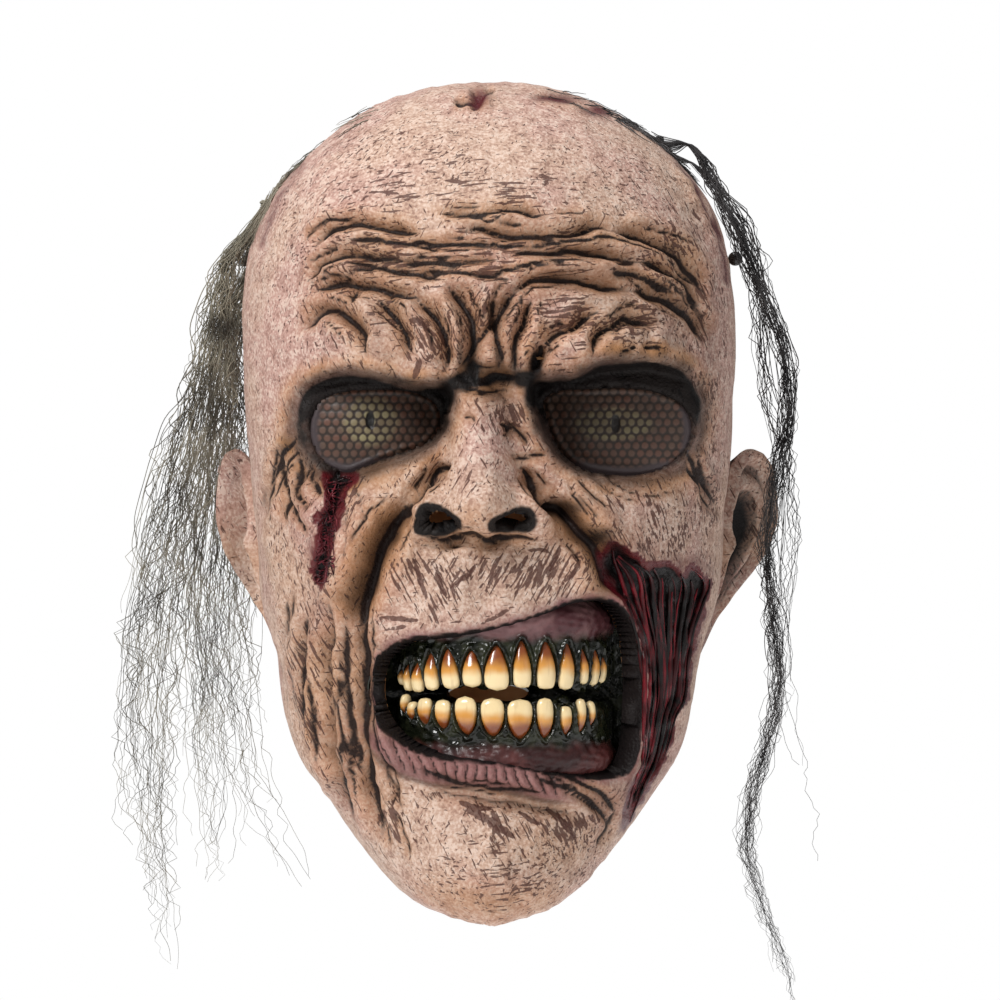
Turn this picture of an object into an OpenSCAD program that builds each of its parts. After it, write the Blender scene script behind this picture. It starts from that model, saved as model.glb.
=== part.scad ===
// Over-the-head latex mask of a snarling undead face: a hollow casting with ears, mesh eye lenses,
// two dental bases with separate teeth, strips of rooted hair, and locks that swing at their knots.
// The face looks along -Y, +X is on a viewer's right, and the origin is inside the head at the
// level of the tip of the nose.

/* [Head] */
// Width of the head above the ears
head_w = 169; // [140:1:205]
// From the origin up to the crown
crown_up = 144; // [120:1:173]
// From the origin down to the chin
chin_down = 139; // [115:1:167]
// From the origin forward to the forehead
head_front = 97; // [85:1:110]
// From the origin back to the nape side of the head
head_back = 100; // [84:1:120]
// Thickness of the latex
wall = 3; // [2:0.25:4]
// Height of the neck edge at the back, below the origin
nape_down = 84; // [70:1:95]

/* [Face] */
// Sideways place of the face's centre line
face_x = 2; // [0:0.5:4]
// Distance between the two eye centres
eye_gap = 80; // [74:1:88]
// Height of the eye centres
eye_z = 22; // [18:1:27]
// Half-width of the left eye hole
left_eye_r = 21.5; // [18:0.5:24]
// Half-width of the right eye hole
right_eye_r = 23.5; // [20:0.5:26]
// Depth of the eye sockets
socket_depth = 13; // [9:0.5:15]
// How far the tip of the nose stands out
nose_out = 24; // [18:1:28]
// Sideways place of the nose
nose_x = -3; // [-4:0.5:0]
// Radius of a nostril
nostril_r = 4; // [3:0.25:5]
// How far the lips and chin stand out
muzzle_out = 9; // [6:0.5:12]

/* [Mouth and teeth] */
// Sideways place of the mouth's centre
mouth_x = 4.5; // [2:0.5:7]
// Height of the bite line, below the origin
bite_down = 62.5; // [56:0.5:68]
// Height of the mouth hole above the bite line
mouth_up = 27; // [22:0.5:30]
// Depth of the mouth hole below the bite line
mouth_low = 24; // [20:0.5:26]
// Half-width of the row of teeth
arch_r = 38; // [32:0.5:42]
// Depth of the row of teeth from front to back
arch_depth = 34; // [27:1:38]
// Height of the middle upper teeth
upper_h = 15.5; // [12:0.5:18]
// Height of the middle lower teeth
lower_h = 13.5; // [11:0.5:16]
// Gap between neighbouring teeth
tooth_gap = 0.3; // [0.2:0.1:1]
// Thickness of a tooth
tooth_t = 5; // [4:0.25:6]
// Gap between the upper and the lower teeth
bite_gap = 2.8; // [2:0.2:5]

/* [Hair] */
// Diameter of the knot at the root of a lock
knot_d = 5; // [4:0.5:6]
// Length of the knot
knot_l = 7; // [5:0.5:8]
// Diameter of the two beads on the edge of the scalp
bead_d = 5; // [4:0.5:6]
// Thickness of the strips of rooted hair
hair_base_t = 2.2; // [1.5:0.1:3]
// How much wider than drawn the locks are, as a ratio
lock_fullness = 1; // [0.8:0.05:1.15]

/* [Fits] */
// Gap around a lens in its eye hole
lens_fit = 0.3; // [0.2:0.05:0.5]
// Gap around a tooth in its socket
tooth_fit = 0.12; // [0.1:0.02:0.2]
// Gap between a glued piece and the latex
glue_gap = 0.2; // [0.1:0.05:0.4]
// Gap between a knot and the strip or the latex below it
knot_gap = 0.5; // [0.3:0.1:1]
// How far the teeth stand behind the inside of the lips
tooth_set = 2; // [1:0.5:4]

/* [Hidden] */
UPPER_TEETH = 13;
LOWER_TEETH = 11;

bite_z = -bite_down;
latex = [0.78, 0.66, 0.58];
tooth_colour = [0.95, 0.78, 0.5];
gum_colour = [0.12, 0.13, 0.09];
left_hair_colour = [0.33, 0.3, 0.25];
right_hair_colour = [0.16, 0.15, 0.15];

// ---- The form of the head ------------------------------------------------------------------
// Each row is a level section: its height, half-width, front, widest place and back. Heights are
// shares of crown_up above the origin and of chin_down below it, and the rest are shares of half
// of head_w, of head_front (negative) and of head_back (positive).
HEAD_ROWS = [
    [-1.00, 0.05, -0.79, -0.75, -0.70],
    [-0.985, 0.17, -0.83, -0.66, -0.35],
    [-0.955, 0.30, -0.87, -0.50, 0.20],
    [-0.905, 0.405, -0.90, -0.38, 0.36],
    [-0.82, 0.527, -0.925, -0.28, 0.47],
    [-0.735, 0.635, -0.935, -0.20, 0.55],
    [-0.64, 0.752, -0.94, -0.12, 0.63],
    [-0.54, 0.812, -0.945, -0.06, 0.71],
    [-0.39, 0.853, -0.95, -0.02, 0.80],
    [-0.25, 0.91, -0.95, 0.01, 0.88],
    [-0.08, 0.953, -0.95, 0.05, 0.965],
    [0.09, 0.976, -0.965, 0.05, 0.99],
    [0.28, 1.00, -1.00, 0.05, 1.00],
    [0.46, 1.00, -0.985, 0.05, 0.985],
    [0.59, 0.97, -0.94, 0.05, 0.94],
    [0.70, 0.905, -0.865, 0.05, 0.87],
    [0.79, 0.80, -0.755, 0.055, 0.775],
    [0.87, 0.65, -0.60, 0.06, 0.65],
    [0.93, 0.50, -0.445, 0.065, 0.52],
    [0.97, 0.34, -0.28, 0.07, 0.38],
    [0.99, 0.19, -0.13, 0.08, 0.26],
    [1.00, 0.05, 0.03, 0.08, 0.12]
];
ROW_STEPS = 2;
COLUMNS = 50;
FRONT_FULLNESS = 2.3;
BACK_FULLNESS = 2.1;

function smooth(a, b, c, d, t) =
    0.5 * (2 * b + (c - a) * t + (2 * a - 5 * b + 4 * c - d) * t * t
    + (3 * b - a - 3 * c + d) * t * t * t);

function head_row(v) =
    let (n = len(HEAD_ROWS), i = min(floor(v), n - 2), a = HEAD_ROWS[max(i - 1, 0)])
    let (b = HEAD_ROWS[i], c = HEAD_ROWS[i + 1], d = HEAD_ROWS[min(i + 2, n - 1)])
    smooth(a, b, c, d, v - i);

function height(share) = share * (share > 0 ? crown_up : chin_down);
function depth(share) = share * (share > 0 ? head_back : head_front);
function signed_power(s, p) = sign(s) * pow(abs(s), p);

ROW_VALUES = [for (v = [0 : 1 / ROW_STEPS : len(HEAD_ROWS) - 1]) head_row(v)];
WIDTH_AT = [for (r = ROW_VALUES) [height(r[0]), r[1] * head_w / 2]];
FRONT_AT = [for (r = ROW_VALUES) [height(r[0]), depth(r[2])]];
MIDDLE_AT = [for (r = ROW_VALUES) [height(r[0]), depth(r[3])]];
BACK_AT = [for (r = ROW_VALUES) [height(r[0]), depth(r[4])]];
function half_w(z) = lookup(z, WIDTH_AT);

left_eye_x = face_x - eye_gap / 2;
right_eye_x = face_x + eye_gap / 2;

function hill(x, z, cx, cz, rx, rz) = exp(-pow((x - cx) / rx, 2) - pow((z - cz) / rz, 2));
function mesa(x, z, cx, cz, rx, rz) = exp(-pow(pow((x - cx) / rx, 2) + pow((z - cz) / rz, 2), 2));

// How far the face stands out of the plain head: nose, brows, cheekbones, muzzle and chin.
function features(x, z) =
    nose_out * (0.4 * hill(x, z, nose_x, 22, 12, 20) + 0.85 * hill(x, z, nose_x, -1, 15, 13))
    + 10 * (hill(x, z, nose_x - 16, -5, 10, 10) + hill(x, z, nose_x + 16, -5, 10, 10))
    + 8 * (hill(x, z, left_eye_x, eye_z + 27, 30, 11) + hill(x, z, right_eye_x, eye_z + 27, 30, 11))
    + 7 * (hill(x, z, face_x - 50, -14, 22, 20) + hill(x, z, face_x + 50, -14, 22, 20))
    + muzzle_out * hill(x, z, mouth_x, bite_z, 48, 36)
    + muzzle_out * hill(x, z, mouth_x, -118, 24, 16)
    - socket_depth * mesa(x, z, left_eye_x, eye_z, left_eye_r + 5, 17)
    - socket_depth * mesa(x, z, right_eye_x, eye_z, right_eye_r + 5, 17);

// The front of the head at a sideways place and a height.
function face_y(x, z) =
    let (m = lookup(z, MIDDLE_AT), f = lookup(z, FRONT_AT), u = min(1, abs(x) / half_w(z)))
    m + (f - m) * pow(1 - pow(u, FRONT_FULLNESS), 1 / FRONT_FULLNESS) - features(x, z);

// A point of the head's surface, from a row's values and the angle around from the front.
function head_point(r, a) =
    let (front = cos(a) > 0, p = 2 / (front ? FRONT_FULLNESS : BACK_FULLNESS), z = height(r[0]))
    let (x = r[1] * head_w / 2 * signed_power(sin(a), p), m = depth(r[3]))
    let (reach = m - depth(r[front ? 2 : 4]), fade = front ? pow(cos(a), 0.7) : 0)
    [x, m - reach * pow(abs(cos(a)), p) - fade * features(x, z), z];

function unit(v) = v / norm(v);
function head_normal(v, a) =
    let (lo = head_row(max(v - 0.15, 0)), hi = head_row(min(v + 0.15, len(HEAD_ROWS) - 1)))
    let (r = head_row(v), up = head_point(hi, a) - head_point(lo, a))
    unit(cross(head_point(r, a + 1.5) - head_point(r, a - 1.5), up));

// Columns stand closer together over the face than at the back.
function column_angle(i) = let (a = 360 * i / COLUMNS) a - 24 * sin(a);

// The whole head as one closed skin, standing out of the surface by off, or inside it if negative.
module head_form(off) {
    rows = len(HEAD_ROWS) - 1;
    count = rows * ROW_STEPS;
    rings = [for (j = [0:count]) let (v = j / ROW_STEPS, r = head_row(v))
        [for (i = [0 : COLUMNS - 1]) let (a = column_angle(i))
            head_point(r, a) + (off == 0 ? [0, 0, 0] : off * head_normal(v, a))]];
    low = (head_point(HEAD_ROWS[0], 0) + head_point(HEAD_ROWS[0], 180)) / 2;
    high = (head_point(HEAD_ROWS[rows], 0) + head_point(HEAD_ROWS[rows], 180)) / 2;
    points = concat(
        [for (ring = rings) each ring],
        [low - [0, 0, 0.5 + off], high + [0, 0, 0.5 + off]]
    );
    last = count * COLUMNS;
    faces = concat(
        [for (j = [0 : count - 1]) for (i = [0 : COLUMNS - 1])
            let (k = j * COLUMNS, n = (i + 1) % COLUMNS)
            each [[k + i, k + COLUMNS + i, k + n], [k + n, k + COLUMNS + i, k + COLUMNS + n]]],
        [for (i = [0 : COLUMNS - 1]) [i, (i + 1) % COLUMNS, len(points) - 2]],
        [for (i = [0 : COLUMNS - 1]) [last + (i + 1) % COLUMNS, last + i, len(points) - 1]]
    );
    polyhedron(points, faces, convexity = 8);
}

// ---- Openings ------------------------------------------------------------------------------
// An eye hole is flat above and round below, and slants up away from the nose.
EYE_LEAN = 6;
function eye_outline(r, side) =
    [for (a = [0:12:348]) let (x = r * cos(a), z = (a < 180 ? 0.52 : 0.72) * r * sin(a))
        [side * (x * cos(EYE_LEAN) - z * sin(EYE_LEAN)), x * sin(EYE_LEAN) + z * cos(EYE_LEAN)]];

module along_y(length) {
    rotate([90, 0, 0])
        linear_extrude(length, center = true)
            children();
}

module eye_hole(x, r, side) {
    translate([x, face_y(x, eye_z), eye_z])
        along_y(60)
            polygon(eye_outline(r, side));
}

// A nostril runs up and back from under the tip of the nose into the hollow head.
module nostril(side) {
    x = nose_x + side * 11;
    tip_y = face_y(nose_x, 0);
    hull() {
        for (s = [-1, 1])
            translate([x + 3 * s, tip_y + 2, -14]) sphere(nostril_r, $fn = 16);
        translate([x, tip_y + nose_out + wall, -3]) sphere(nostril_r - 1, $fn = 16);
    }
}

// The snarl: shares of arch_r sideways, and of mouth_up or mouth_low from the bite line.
MOUTH = [
    [-1.10, -0.05], [-0.97, 0.66], [-0.56, 0.72], [-0.10, 0.80], [0.30, 0.96], [0.78, 1.0],
    [0.97, 0.84], [1.11, 0.35], [1.14, -0.45], [0.98, -0.95], [0.70, -1.0], [0.30, -1.0],
    [-0.10, -0.96], [-0.56, -0.88], [-0.95, -0.62]
];
function mouth_point(k) =
    let (p = MOUTH[k % len(MOUTH)])
    [mouth_x + p[0] * arch_r, bite_z + p[1] * (p[1] > 0 ? mouth_up : mouth_low)];

function mouth_curve(v) =
    let (n = len(MOUTH), k = floor(v))
    smooth(mouth_point(k + n - 1), mouth_point(k), mouth_point(k + 1), mouth_point(k + 2), v - k);
MOUTH_EDGE = [for (v = [0 : 0.5 : len(MOUTH) - 0.5]) mouth_curve(v)];

module mouth_hole() {
    translate([0, -head_front, 0])
        along_y(70)
            polygon(MOUTH_EDGE);
}

// The lips are a rolled rim around the mouth hole.
LIP_R = 4.5;

module lip_ball(k) {
    p = MOUTH_EDGE[k % len(MOUTH_EDGE)];
    centre = [mouth_x, bite_z];
    q = p + unit(p - centre) * LIP_R / 2;
    translate([q[0], face_y(q[0], q[1]) + LIP_R / 3, q[1]]) sphere(LIP_R, $fn = 10);
}

module lips() {
    for (k = [0 : len(MOUTH_EDGE) - 1])
        hull() {
            lip_ball(k);
            lip_ball(k + 1);
        }
}

// Everything under a slanting plane, from under the chin to the nape, is open.
module neck_cut() {
    chin_y = 0.74 * head_front;
    slope = atan2(chin_down + 1 - nape_down, chin_y + head_back);
    translate([0, -chin_y, -chin_down - 1])
        rotate([slope, 0, 0])
            translate([-head_w, 0, -head_w])
                cube([2 * head_w, 2 * head_w, head_w]);
}

// ---- Ears ----------------------------------------------------------------------------------
// The rim of an ear: how far it stands out of the head, its place from front to back, its height.
EAR_RIM = [
    [-1, 3, 8], [7, 5, 15], [12, 11, 16], [14, 18, 8], [12, 22, -4], [8, 21, -17], [5, 15, -30],
    [2, 9, -42], [-2, 4, -50]
];
EAR_RIM_R = 3;

module ear_ball(side, p, r) {
    translate([side * (half_w(p[2]) + p[0]), p[1], p[2]]) sphere(r, $fn = 12);
}

module ear(side) {
    for (k = [0 : len(EAR_RIM) - 2])
        hull() {
            ear_ball(side, EAR_RIM[k], EAR_RIM_R);
            ear_ball(side, EAR_RIM[k + 1], EAR_RIM_R);
        }
    hull() {
        for (p = EAR_RIM) ear_ball(side, p + [-2, 1, 0], EAR_RIM_R / 2);
        ear_ball(side, [-4, 18, 4], EAR_RIM_R / 2);
        ear_ball(side, [-4, 16, -20], EAR_RIM_R / 2);
    }
}

// ---- The casting ---------------------------------------------------------------------------
module mask_shell() {
    color(latex)
        difference() {
            union() {
                head_form(0);
                lips();
                ear(-1);
                ear(1);
            }
            head_form(-wall);
            eye_hole(left_eye_x, left_eye_r, -1);
            eye_hole(right_eye_x, right_eye_r, 1);
            nostril(-1);
            nostril(1);
            mouth_hole();
            neck_cut();
        }
}

// ---- Eye lenses ----------------------------------------------------------------------------
LENS_T = 1.2;
LENS_DOME_R = 55;

module lens(x, r, side) {
    color([0.3, 0.25, 0.2])
        intersection() {
            translate([x, face_y(x, eye_z), eye_z])
                along_y(40)
                    polygon(eye_outline(r - lens_fit, side));
            translate([x, face_y(x, eye_z) + LENS_DOME_R - 1, eye_z])
                difference() {
                    sphere(LENS_DOME_R, $fn = 96);
                    sphere(LENS_DOME_R - LENS_T, $fn = 96);
                }
        }
}

module left_eye_mesh() {
    lens(left_eye_x, left_eye_r, -1);
}

module right_eye_mesh() {
    lens(right_eye_x, right_eye_r, 1);
}

// ---- Teeth and gums ------------------------------------------------------------------------
// Teeth stand on half an ellipse, whose front is just behind the inside of the lips.
arch_front = face_y(mouth_x, bite_z) + wall + tooth_set;
function arch_x(a) = mouth_x + arch_r * sin(a);
function arch_y(a) = arch_front + arch_depth * (1 - cos(a));
function arch_turn(a) = atan2(arch_depth * sin(a), arch_r * cos(a));

// Each tooth's angle round the arch, closer together at its ends, by its place from the middle.
function upper_angle(k) = 13.6 * k - 0.054 * pow(k, 3) - 3 * (1 - pow(k / 6, 2));
function lower_angle(k) = 14.6 * k - 0.095 * pow(k, 3) - 5;
function tooth_width(a, b) =
    norm([arch_x(b) - arch_x(a), arch_y(b) - arch_y(a)]) * (1 - tooth_t / 2 / arch_depth) - tooth_gap;
function tooth_height(k, h) = h * (1 - 0.36 * pow(k / 6, 2));

// A tooth from its chewing edge, at height zero, up to its root: wide edge, narrow root.
module tooth_form(w, h, grow) {
    r = tooth_t / 2 - 0.9;
    hull() {
        for (s = [-1, 1]) {
            translate([s * (w / 2 - r), tooth_t / 2, r]) sphere(r + grow, $fn = 10);
            translate([s * (w / 2 - r), tooth_t / 2 - 0.6, h * 0.5]) sphere(r + 0.2 + grow, $fn = 10);
        }
        translate([0, tooth_t / 2, h - r]) sphere(r + grow, $fn = 10);
    }
}

module upper_tooth(i, grow = 0) {
    k = i - (UPPER_TEETH + 1) / 2;
    a = upper_angle(k);
    w = tooth_width(upper_angle(k - 0.5), upper_angle(k + 0.5));
    translate([arch_x(a), arch_y(a), bite_z + bite_gap / 2])
        rotate([0, 0, arch_turn(a)])
            tooth_form(w, tooth_height(k, upper_h), grow);
}

module lower_tooth(i, grow = 0) {
    k = i - (LOWER_TEETH + 1) / 2;
    a = lower_angle(k);
    w = tooth_width(lower_angle(k - 0.5), lower_angle(k + 0.5));
    translate([arch_x(a), arch_y(a), bite_z - bite_gap / 2])
        rotate([0, 0, arch_turn(a)])
            mirror([0, 0, 1])
                tooth_form(w, tooth_height(k, lower_h), grow);
}

// A post of gum behind the arch, from its low end to its high end; the root end is the thicker.
GUM_EDGE_R = 2.2;
GUM_ROOT_R = 4.5;
GUM_END_ANGLE = 82;
GUM_STEPS = 11;

module gum_post(a, edge_z, root_z) {
    translate([arch_x(a), arch_y(a), 0])
        rotate([0, 0, arch_turn(a)]) {
            translate([0, tooth_t / 2 + 1.6, edge_z]) sphere(GUM_EDGE_R, $fn = 12);
            translate([0, GUM_ROOT_R - tooth_set - 1, root_z]) sphere(GUM_ROOT_R, $fn = 12);
        }
}

module gum_band(edge_z, root_z) {
    step = 2 * GUM_END_ANGLE / GUM_STEPS;
    for (k = [0 : GUM_STEPS - 1])
        hull() {
            gum_post(-GUM_END_ANGLE + k * step, edge_z, root_z);
            gum_post(-GUM_END_ANGLE + (k + 1) * step, edge_z, root_z);
        }
}

module upper_gum() {
    edge_z = bite_z + bite_gap / 2 + 0.45 * upper_h;
    color(gum_colour)
        difference() {
            intersection() {
                gum_band(edge_z, bite_z + mouth_up + 3);
                head_form(-wall - glue_gap);
            }
            for (i = [1:UPPER_TEETH]) upper_tooth(i, tooth_fit);
        }
}

module lower_gum() {
    edge_z = bite_z - bite_gap / 2 - 0.45 * lower_h;
    color(gum_colour)
        difference() {
            intersection() {
                gum_band(edge_z, bite_z - mouth_low - 1);
                head_form(-wall - glue_gap);
            }
            for (i = [1:LOWER_TEETH]) lower_tooth(i, tooth_fit);
        }
}

// ---- Hair ----------------------------------------------------------------------------------
// A point on the scalp from its height share and its angle around from the front.
function row_at(share, lo = 0, hi = len(HEAD_ROWS) - 1) =
    hi - lo < 0.01 ? (lo + hi) / 2 :
    let (mid = (lo + hi) / 2) head_row(mid)[0] < share ? row_at(share, mid, hi) : row_at(share, lo, mid);
function scalp(share, a, off) =
    let (v = row_at(share)) head_point(head_row(v), a) + off * head_normal(v, a);

// A strip of rooted hair that follows the scalp through the given points.
module hair_base(route, r) {
    difference() {
        intersection() {
            union() {
                for (k = [0 : len(route) - 2])
                    hull() {
                        translate(scalp(route[k][0], route[k][1], 0)) sphere(r, $fn = 16);
                        translate(scalp(route[k + 1][0], route[k + 1][1], 0)) sphere(r, $fn = 16);
                    }
            }
            head_form(hair_base_t);
        }
        head_form(glue_gap);
    }
}

// Height shares and angles around from the front; negative angles are on the left.
LEFT_BASE = [
    [0.90, -60], [0.87, -68], [0.83, -75], [0.78, -81], [0.73, -87], [0.68, -93], [0.64, -100],
    [0.61, -107], [0.59, -114], [0.575, -121]
];
RIGHT_BASE = [
    [0.955, 35], [0.94, 48], [0.925, 58], [0.91, 68], [0.90, 76], [0.88, 84], [0.86, 92],
    [0.84, 99], [0.82, 105]
];

module left_hair_base() {
    color(left_hair_colour) hair_base(LEFT_BASE, 9);
}

module right_hair_base() {
    color(right_hair_colour) hair_base(RIGHT_BASE, 7);
}

// A bead sits on the scalp at the level of the forehead folds.
module bead(share, a) {
    color(gum_colour)
        translate(scalp(share, a, glue_gap + bead_d / 2))
            sphere(bead_d / 2, $fn = 48);
}

module left_bead() {
    bead(0.575, -93);
}

module right_bead() {
    bead(0.575, 90);
}

// The side of the head at a height, for hair that hangs beside it.
function side_x(z) = z > 0.3 * crown_up ? half_w(z) : head_w / 2;

// A lock's knot stands clear of the scalp and its strip of hair, at a height share and an angle.
function root_at(share, a) =
    let (n = head_normal(row_at(share), a))
    scalp(share, a, hair_base_t + knot_gap + knot_d / 2 + abs(n[1]) * knot_l / 2);

// The joints turn about these knots, along Y.
LEFT_FRONT_ROOT = root_at(0.72, -84);
LEFT_SIDE_ROOT = root_at(0.61, -107);
LEFT_BACK_ROOT = root_at(0.58, -119);
RIGHT_FRONT_ROOT = root_at(0.89, 80);
RIGHT_SIDE_ROOT = root_at(0.85, 99);

// Routes: how far the lock's middle is outside the side of the head, its height share, and its
// half-width. They hang from the root to the tip.
LEFT_FRONT_ROUTE = [
    [7, 0.60, 2.5], [8, 0.46, 3.5], [10, 0.33, 5], [15, 0.19, 6], [21, 0.04, 7.5], [26, -0.12, 8],
    [31, -0.28, 8], [33, -0.45, 7], [33, -0.65, 6], [31, -0.85, 4.5], [28, -1.05, 3], [26, -1.2, 2]
];
LEFT_SIDE_ROUTE = [
    [8, 0.50, 3], [9, 0.37, 5], [11, 0.22, 6], [14, 0.05, 7], [17, -0.14, 7.5],
    [18, -0.33, 7], [17, -0.52, 6], [15, -0.70, 4.5], [14, -0.86, 3.5], [13, -1.0, 2]
];
LEFT_BACK_ROUTE = [
    [8, 0.46, 3], [6, 0.33, 4.5], [5, 0.15, 5], [5, -0.05, 5.5], [6, -0.25, 5],
    [5, -0.45, 4.5], [2, -0.63, 4], [-4, -0.80, 3.5], [-14, -0.93, 2.5], [-24, -1.02, 2]
];
RIGHT_FRONT_ROUTE = [
    [12, 0.862, 3], [11, 0.80, 3.5], [10, 0.72, 4], [9, 0.61, 4], [8, 0.48, 4], [12, 0.36, 4],
    [17, 0.22, 4], [19, 0.09, 4], [15, -0.04, 4], [11, -0.18, 4], [9, -0.32, 4], [12, -0.48, 4],
    [11, -0.66, 4.5], [5, -0.85, 4.5], [7, -1.03, 4], [15, -1.2, 3.5], [22, -1.34, 2]
];
RIGHT_SIDE_ROUTE = [
    [9, 0.76, 1.6], [10, 0.62, 1.8], [10, 0.47, 2], [13, 0.33, 2], [17, 0.18, 2], [19, 0.03, 2],
    [18, -0.14, 2], [18, -0.32, 2], [21, -0.50, 2], [25, -0.68, 2], [28, -0.85, 1.8], [29, -1.0, 1.5]
];

LOCK_SIDES = 8;

// A tube of flattened rings along a route that keeps to one plane, standing square to its path.
module lock(side, root, route, half_depth) {
    places = concat([[root[0], root[2]]], [for (p = route)
        let (z = height(p[1])) [side * (side_x(z) + p[0]), z]]);
    widths = concat([knot_d / 2 - 0.4], [for (p = route) p[2] * lock_fullness]);
    n = len(places) - 1;
    rings = [for (v = [0 : 0.5 : n])
        let (i = min(floor(v), n - 1), t = v - i, a = places[max(i - 1, 0)], b = places[i])
        let (c = places[i + 1], d = places[min(i + 2, n)], w = widths[i] * (1 - t) + widths[i + 1] * t)
        let (p = smooth(a, b, c, d, t), e = smooth(a, b, c, d, min(t + 0.1, 1)))
        let (s = smooth(a, b, c, d, max(t - 0.1, 0)), f = unit(e - s))
        [for (q = [0 : LOCK_SIDES - 1]) let (g = 360 * q / LOCK_SIDES)
            [p[0] - f[1] * w * cos(g), root[1] + min(w, half_depth) * sin(g),
                p[1] + f[0] * w * cos(g)]]];
    count = len(rings);
    faces = concat(
        [for (j = [0 : count - 2]) for (i = [0 : LOCK_SIDES - 1])
            let (k = j * LOCK_SIDES, m = (i + 1) % LOCK_SIDES)
            each [[k + i, k + m, k + LOCK_SIDES + i],
                [k + m, k + LOCK_SIDES + m, k + LOCK_SIDES + i]]],
        [[for (i = [LOCK_SIDES - 1 : -1 : 0]) i]],
        [[for (i = [0 : LOCK_SIDES - 1]) (count - 1) * LOCK_SIDES + i]]
    );
    polyhedron([for (ring = rings) each ring], faces, convexity = 6);
    translate(root)
        rotate([90, 0, 0])
            cylinder(knot_l, d = knot_d, center = true, $fn = 32);
}

module left_front_lock() {
    color(left_hair_colour) lock(-1, LEFT_FRONT_ROOT, LEFT_FRONT_ROUTE, 5);
}

module left_side_lock() {
    color(left_hair_colour) lock(-1, LEFT_SIDE_ROOT, LEFT_SIDE_ROUTE, 5);
}

module left_back_lock() {
    color(left_hair_colour) lock(-1, LEFT_BACK_ROOT, LEFT_BACK_ROUTE, 5);
}

module right_front_lock() {
    color(right_hair_colour) lock(1, RIGHT_FRONT_ROOT, RIGHT_FRONT_ROUTE, 4);
}

module right_side_lock() {
    color(right_hair_colour) lock(1, RIGHT_SIDE_ROOT, RIGHT_SIDE_ROUTE, 2);
}

mask_shell();
left_eye_mesh();
right_eye_mesh();
upper_gum();
lower_gum();
left_hair_base();
right_hair_base();
left_bead();
right_bead();
left_front_lock();
left_side_lock();
left_back_lock();
right_front_lock();
right_side_lock();
for (i = [1:UPPER_TEETH])
    color(tooth_colour) upper_tooth(i);
for (i = [1:LOWER_TEETH])
    color(tooth_colour) lower_tooth(i);
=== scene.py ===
"""A hollow over-the-head latex mask of a snarling undead face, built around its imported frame.

Lengths are in millimetres until a mesh is finished, and the face looks along -Y.
"""

import logging
import math
from collections.abc import Callable
from dataclasses import dataclass, field
from enum import Enum
from typing import ClassVar

import bmesh
import bpy
import numpy as np
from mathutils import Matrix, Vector
from mathutils.bvhtree import BVHTree


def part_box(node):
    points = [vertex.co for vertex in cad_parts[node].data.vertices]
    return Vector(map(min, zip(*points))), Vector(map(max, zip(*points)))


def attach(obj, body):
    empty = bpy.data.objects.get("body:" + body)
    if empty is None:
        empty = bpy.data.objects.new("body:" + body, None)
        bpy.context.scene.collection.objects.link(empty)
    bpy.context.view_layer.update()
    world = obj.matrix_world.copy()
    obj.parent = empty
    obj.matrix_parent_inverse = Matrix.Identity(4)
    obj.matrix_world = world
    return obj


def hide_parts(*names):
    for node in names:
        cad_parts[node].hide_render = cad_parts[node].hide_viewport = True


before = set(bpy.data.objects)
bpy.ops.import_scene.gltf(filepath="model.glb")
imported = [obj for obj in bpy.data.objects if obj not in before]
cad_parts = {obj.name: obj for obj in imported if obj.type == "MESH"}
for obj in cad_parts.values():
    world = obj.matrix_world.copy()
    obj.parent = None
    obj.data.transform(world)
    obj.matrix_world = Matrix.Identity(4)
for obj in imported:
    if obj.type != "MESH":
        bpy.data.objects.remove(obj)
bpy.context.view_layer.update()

LOG = logging.getLogger("mask")
MM = 0.001
MASK = "mask"
CAMERA_BACK = 1600.0
CAMERA_X = 3.8
VIEW_WIDTH = 344.4
FRONT_PLANE = -95.0
MERGE = 0.00002
Points = tuple[tuple[float, float], ...]
Array = np.ndarray
Piece = bpy.types.Object
Material = bpy.types.Material
Socket = bpy.types.NodeSocket


class Slot(Enum):
    """The record's material slots."""

    SKIN = "latex_skin"
    EYE = "eye_mesh"
    GUM = "gum"
    TEETH = "teeth"
    LEFT_HAIR = "left_hair"
    RIGHT_HAIR = "right_hair"
    BEAD = "bead"


# ---- Shared measures ------------------------------------------------------------------------
def smoothstep(low: float, high: float, value: Array) -> Array:
    """Return 0 below low, 1 above high, and a smooth change between them."""
    t = np.clip((value - low) / (high - low), 0, 1)
    return t * t * (3 - 2 * t)


def bell(value: Array) -> Array:
    """Return 1 where the value is 0, falling away smoothly on both sides."""
    return np.exp(-(value**2))


def between(a: Array, b: Array, c: Array, d: Array, t: object) -> Array:
    """Return the smooth curve's point at share t from b to c, with neighbours a and d."""
    return 0.5 * (2 * b + (c - a) * t + (2 * a - 5 * b + 4 * c - d) * t**2 + (3 * b - a - 3 * c + d) * t**3)


def hill(x: Array, z: Array, cx: float, cz: float, rx: float, rz: float) -> Array:
    """Return a round bump of height 1 about a place of the front plane."""
    return np.exp(-(((x - cx) / rx) ** 2) - ((z - cz) / rz) ** 2)


def ripple(x: Array, z: Array, size: float, seed: int) -> Array:
    """Return smooth unevenness from -1 to 1.

    Args:
        x: sideways places.
        z: heights.
        size: length of one wave.
        seed: picks the pattern.

    Returns:
        The unevenness at each place.
    """
    rng = np.random.default_rng(seed)
    total = np.zeros_like(x)
    waves = 9
    for _ in range(waves):
        turn, phase, stretch = rng.uniform(0, 2 * np.pi), rng.uniform(0, 2 * np.pi), rng.uniform(0.7, 1.6)
        step = 2 * np.pi / (size * stretch)
        total += np.sin((x * np.cos(turn) + z * np.sin(turn)) * step + phase)
    return total / waves ** 0.5 / 1.4


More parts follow.
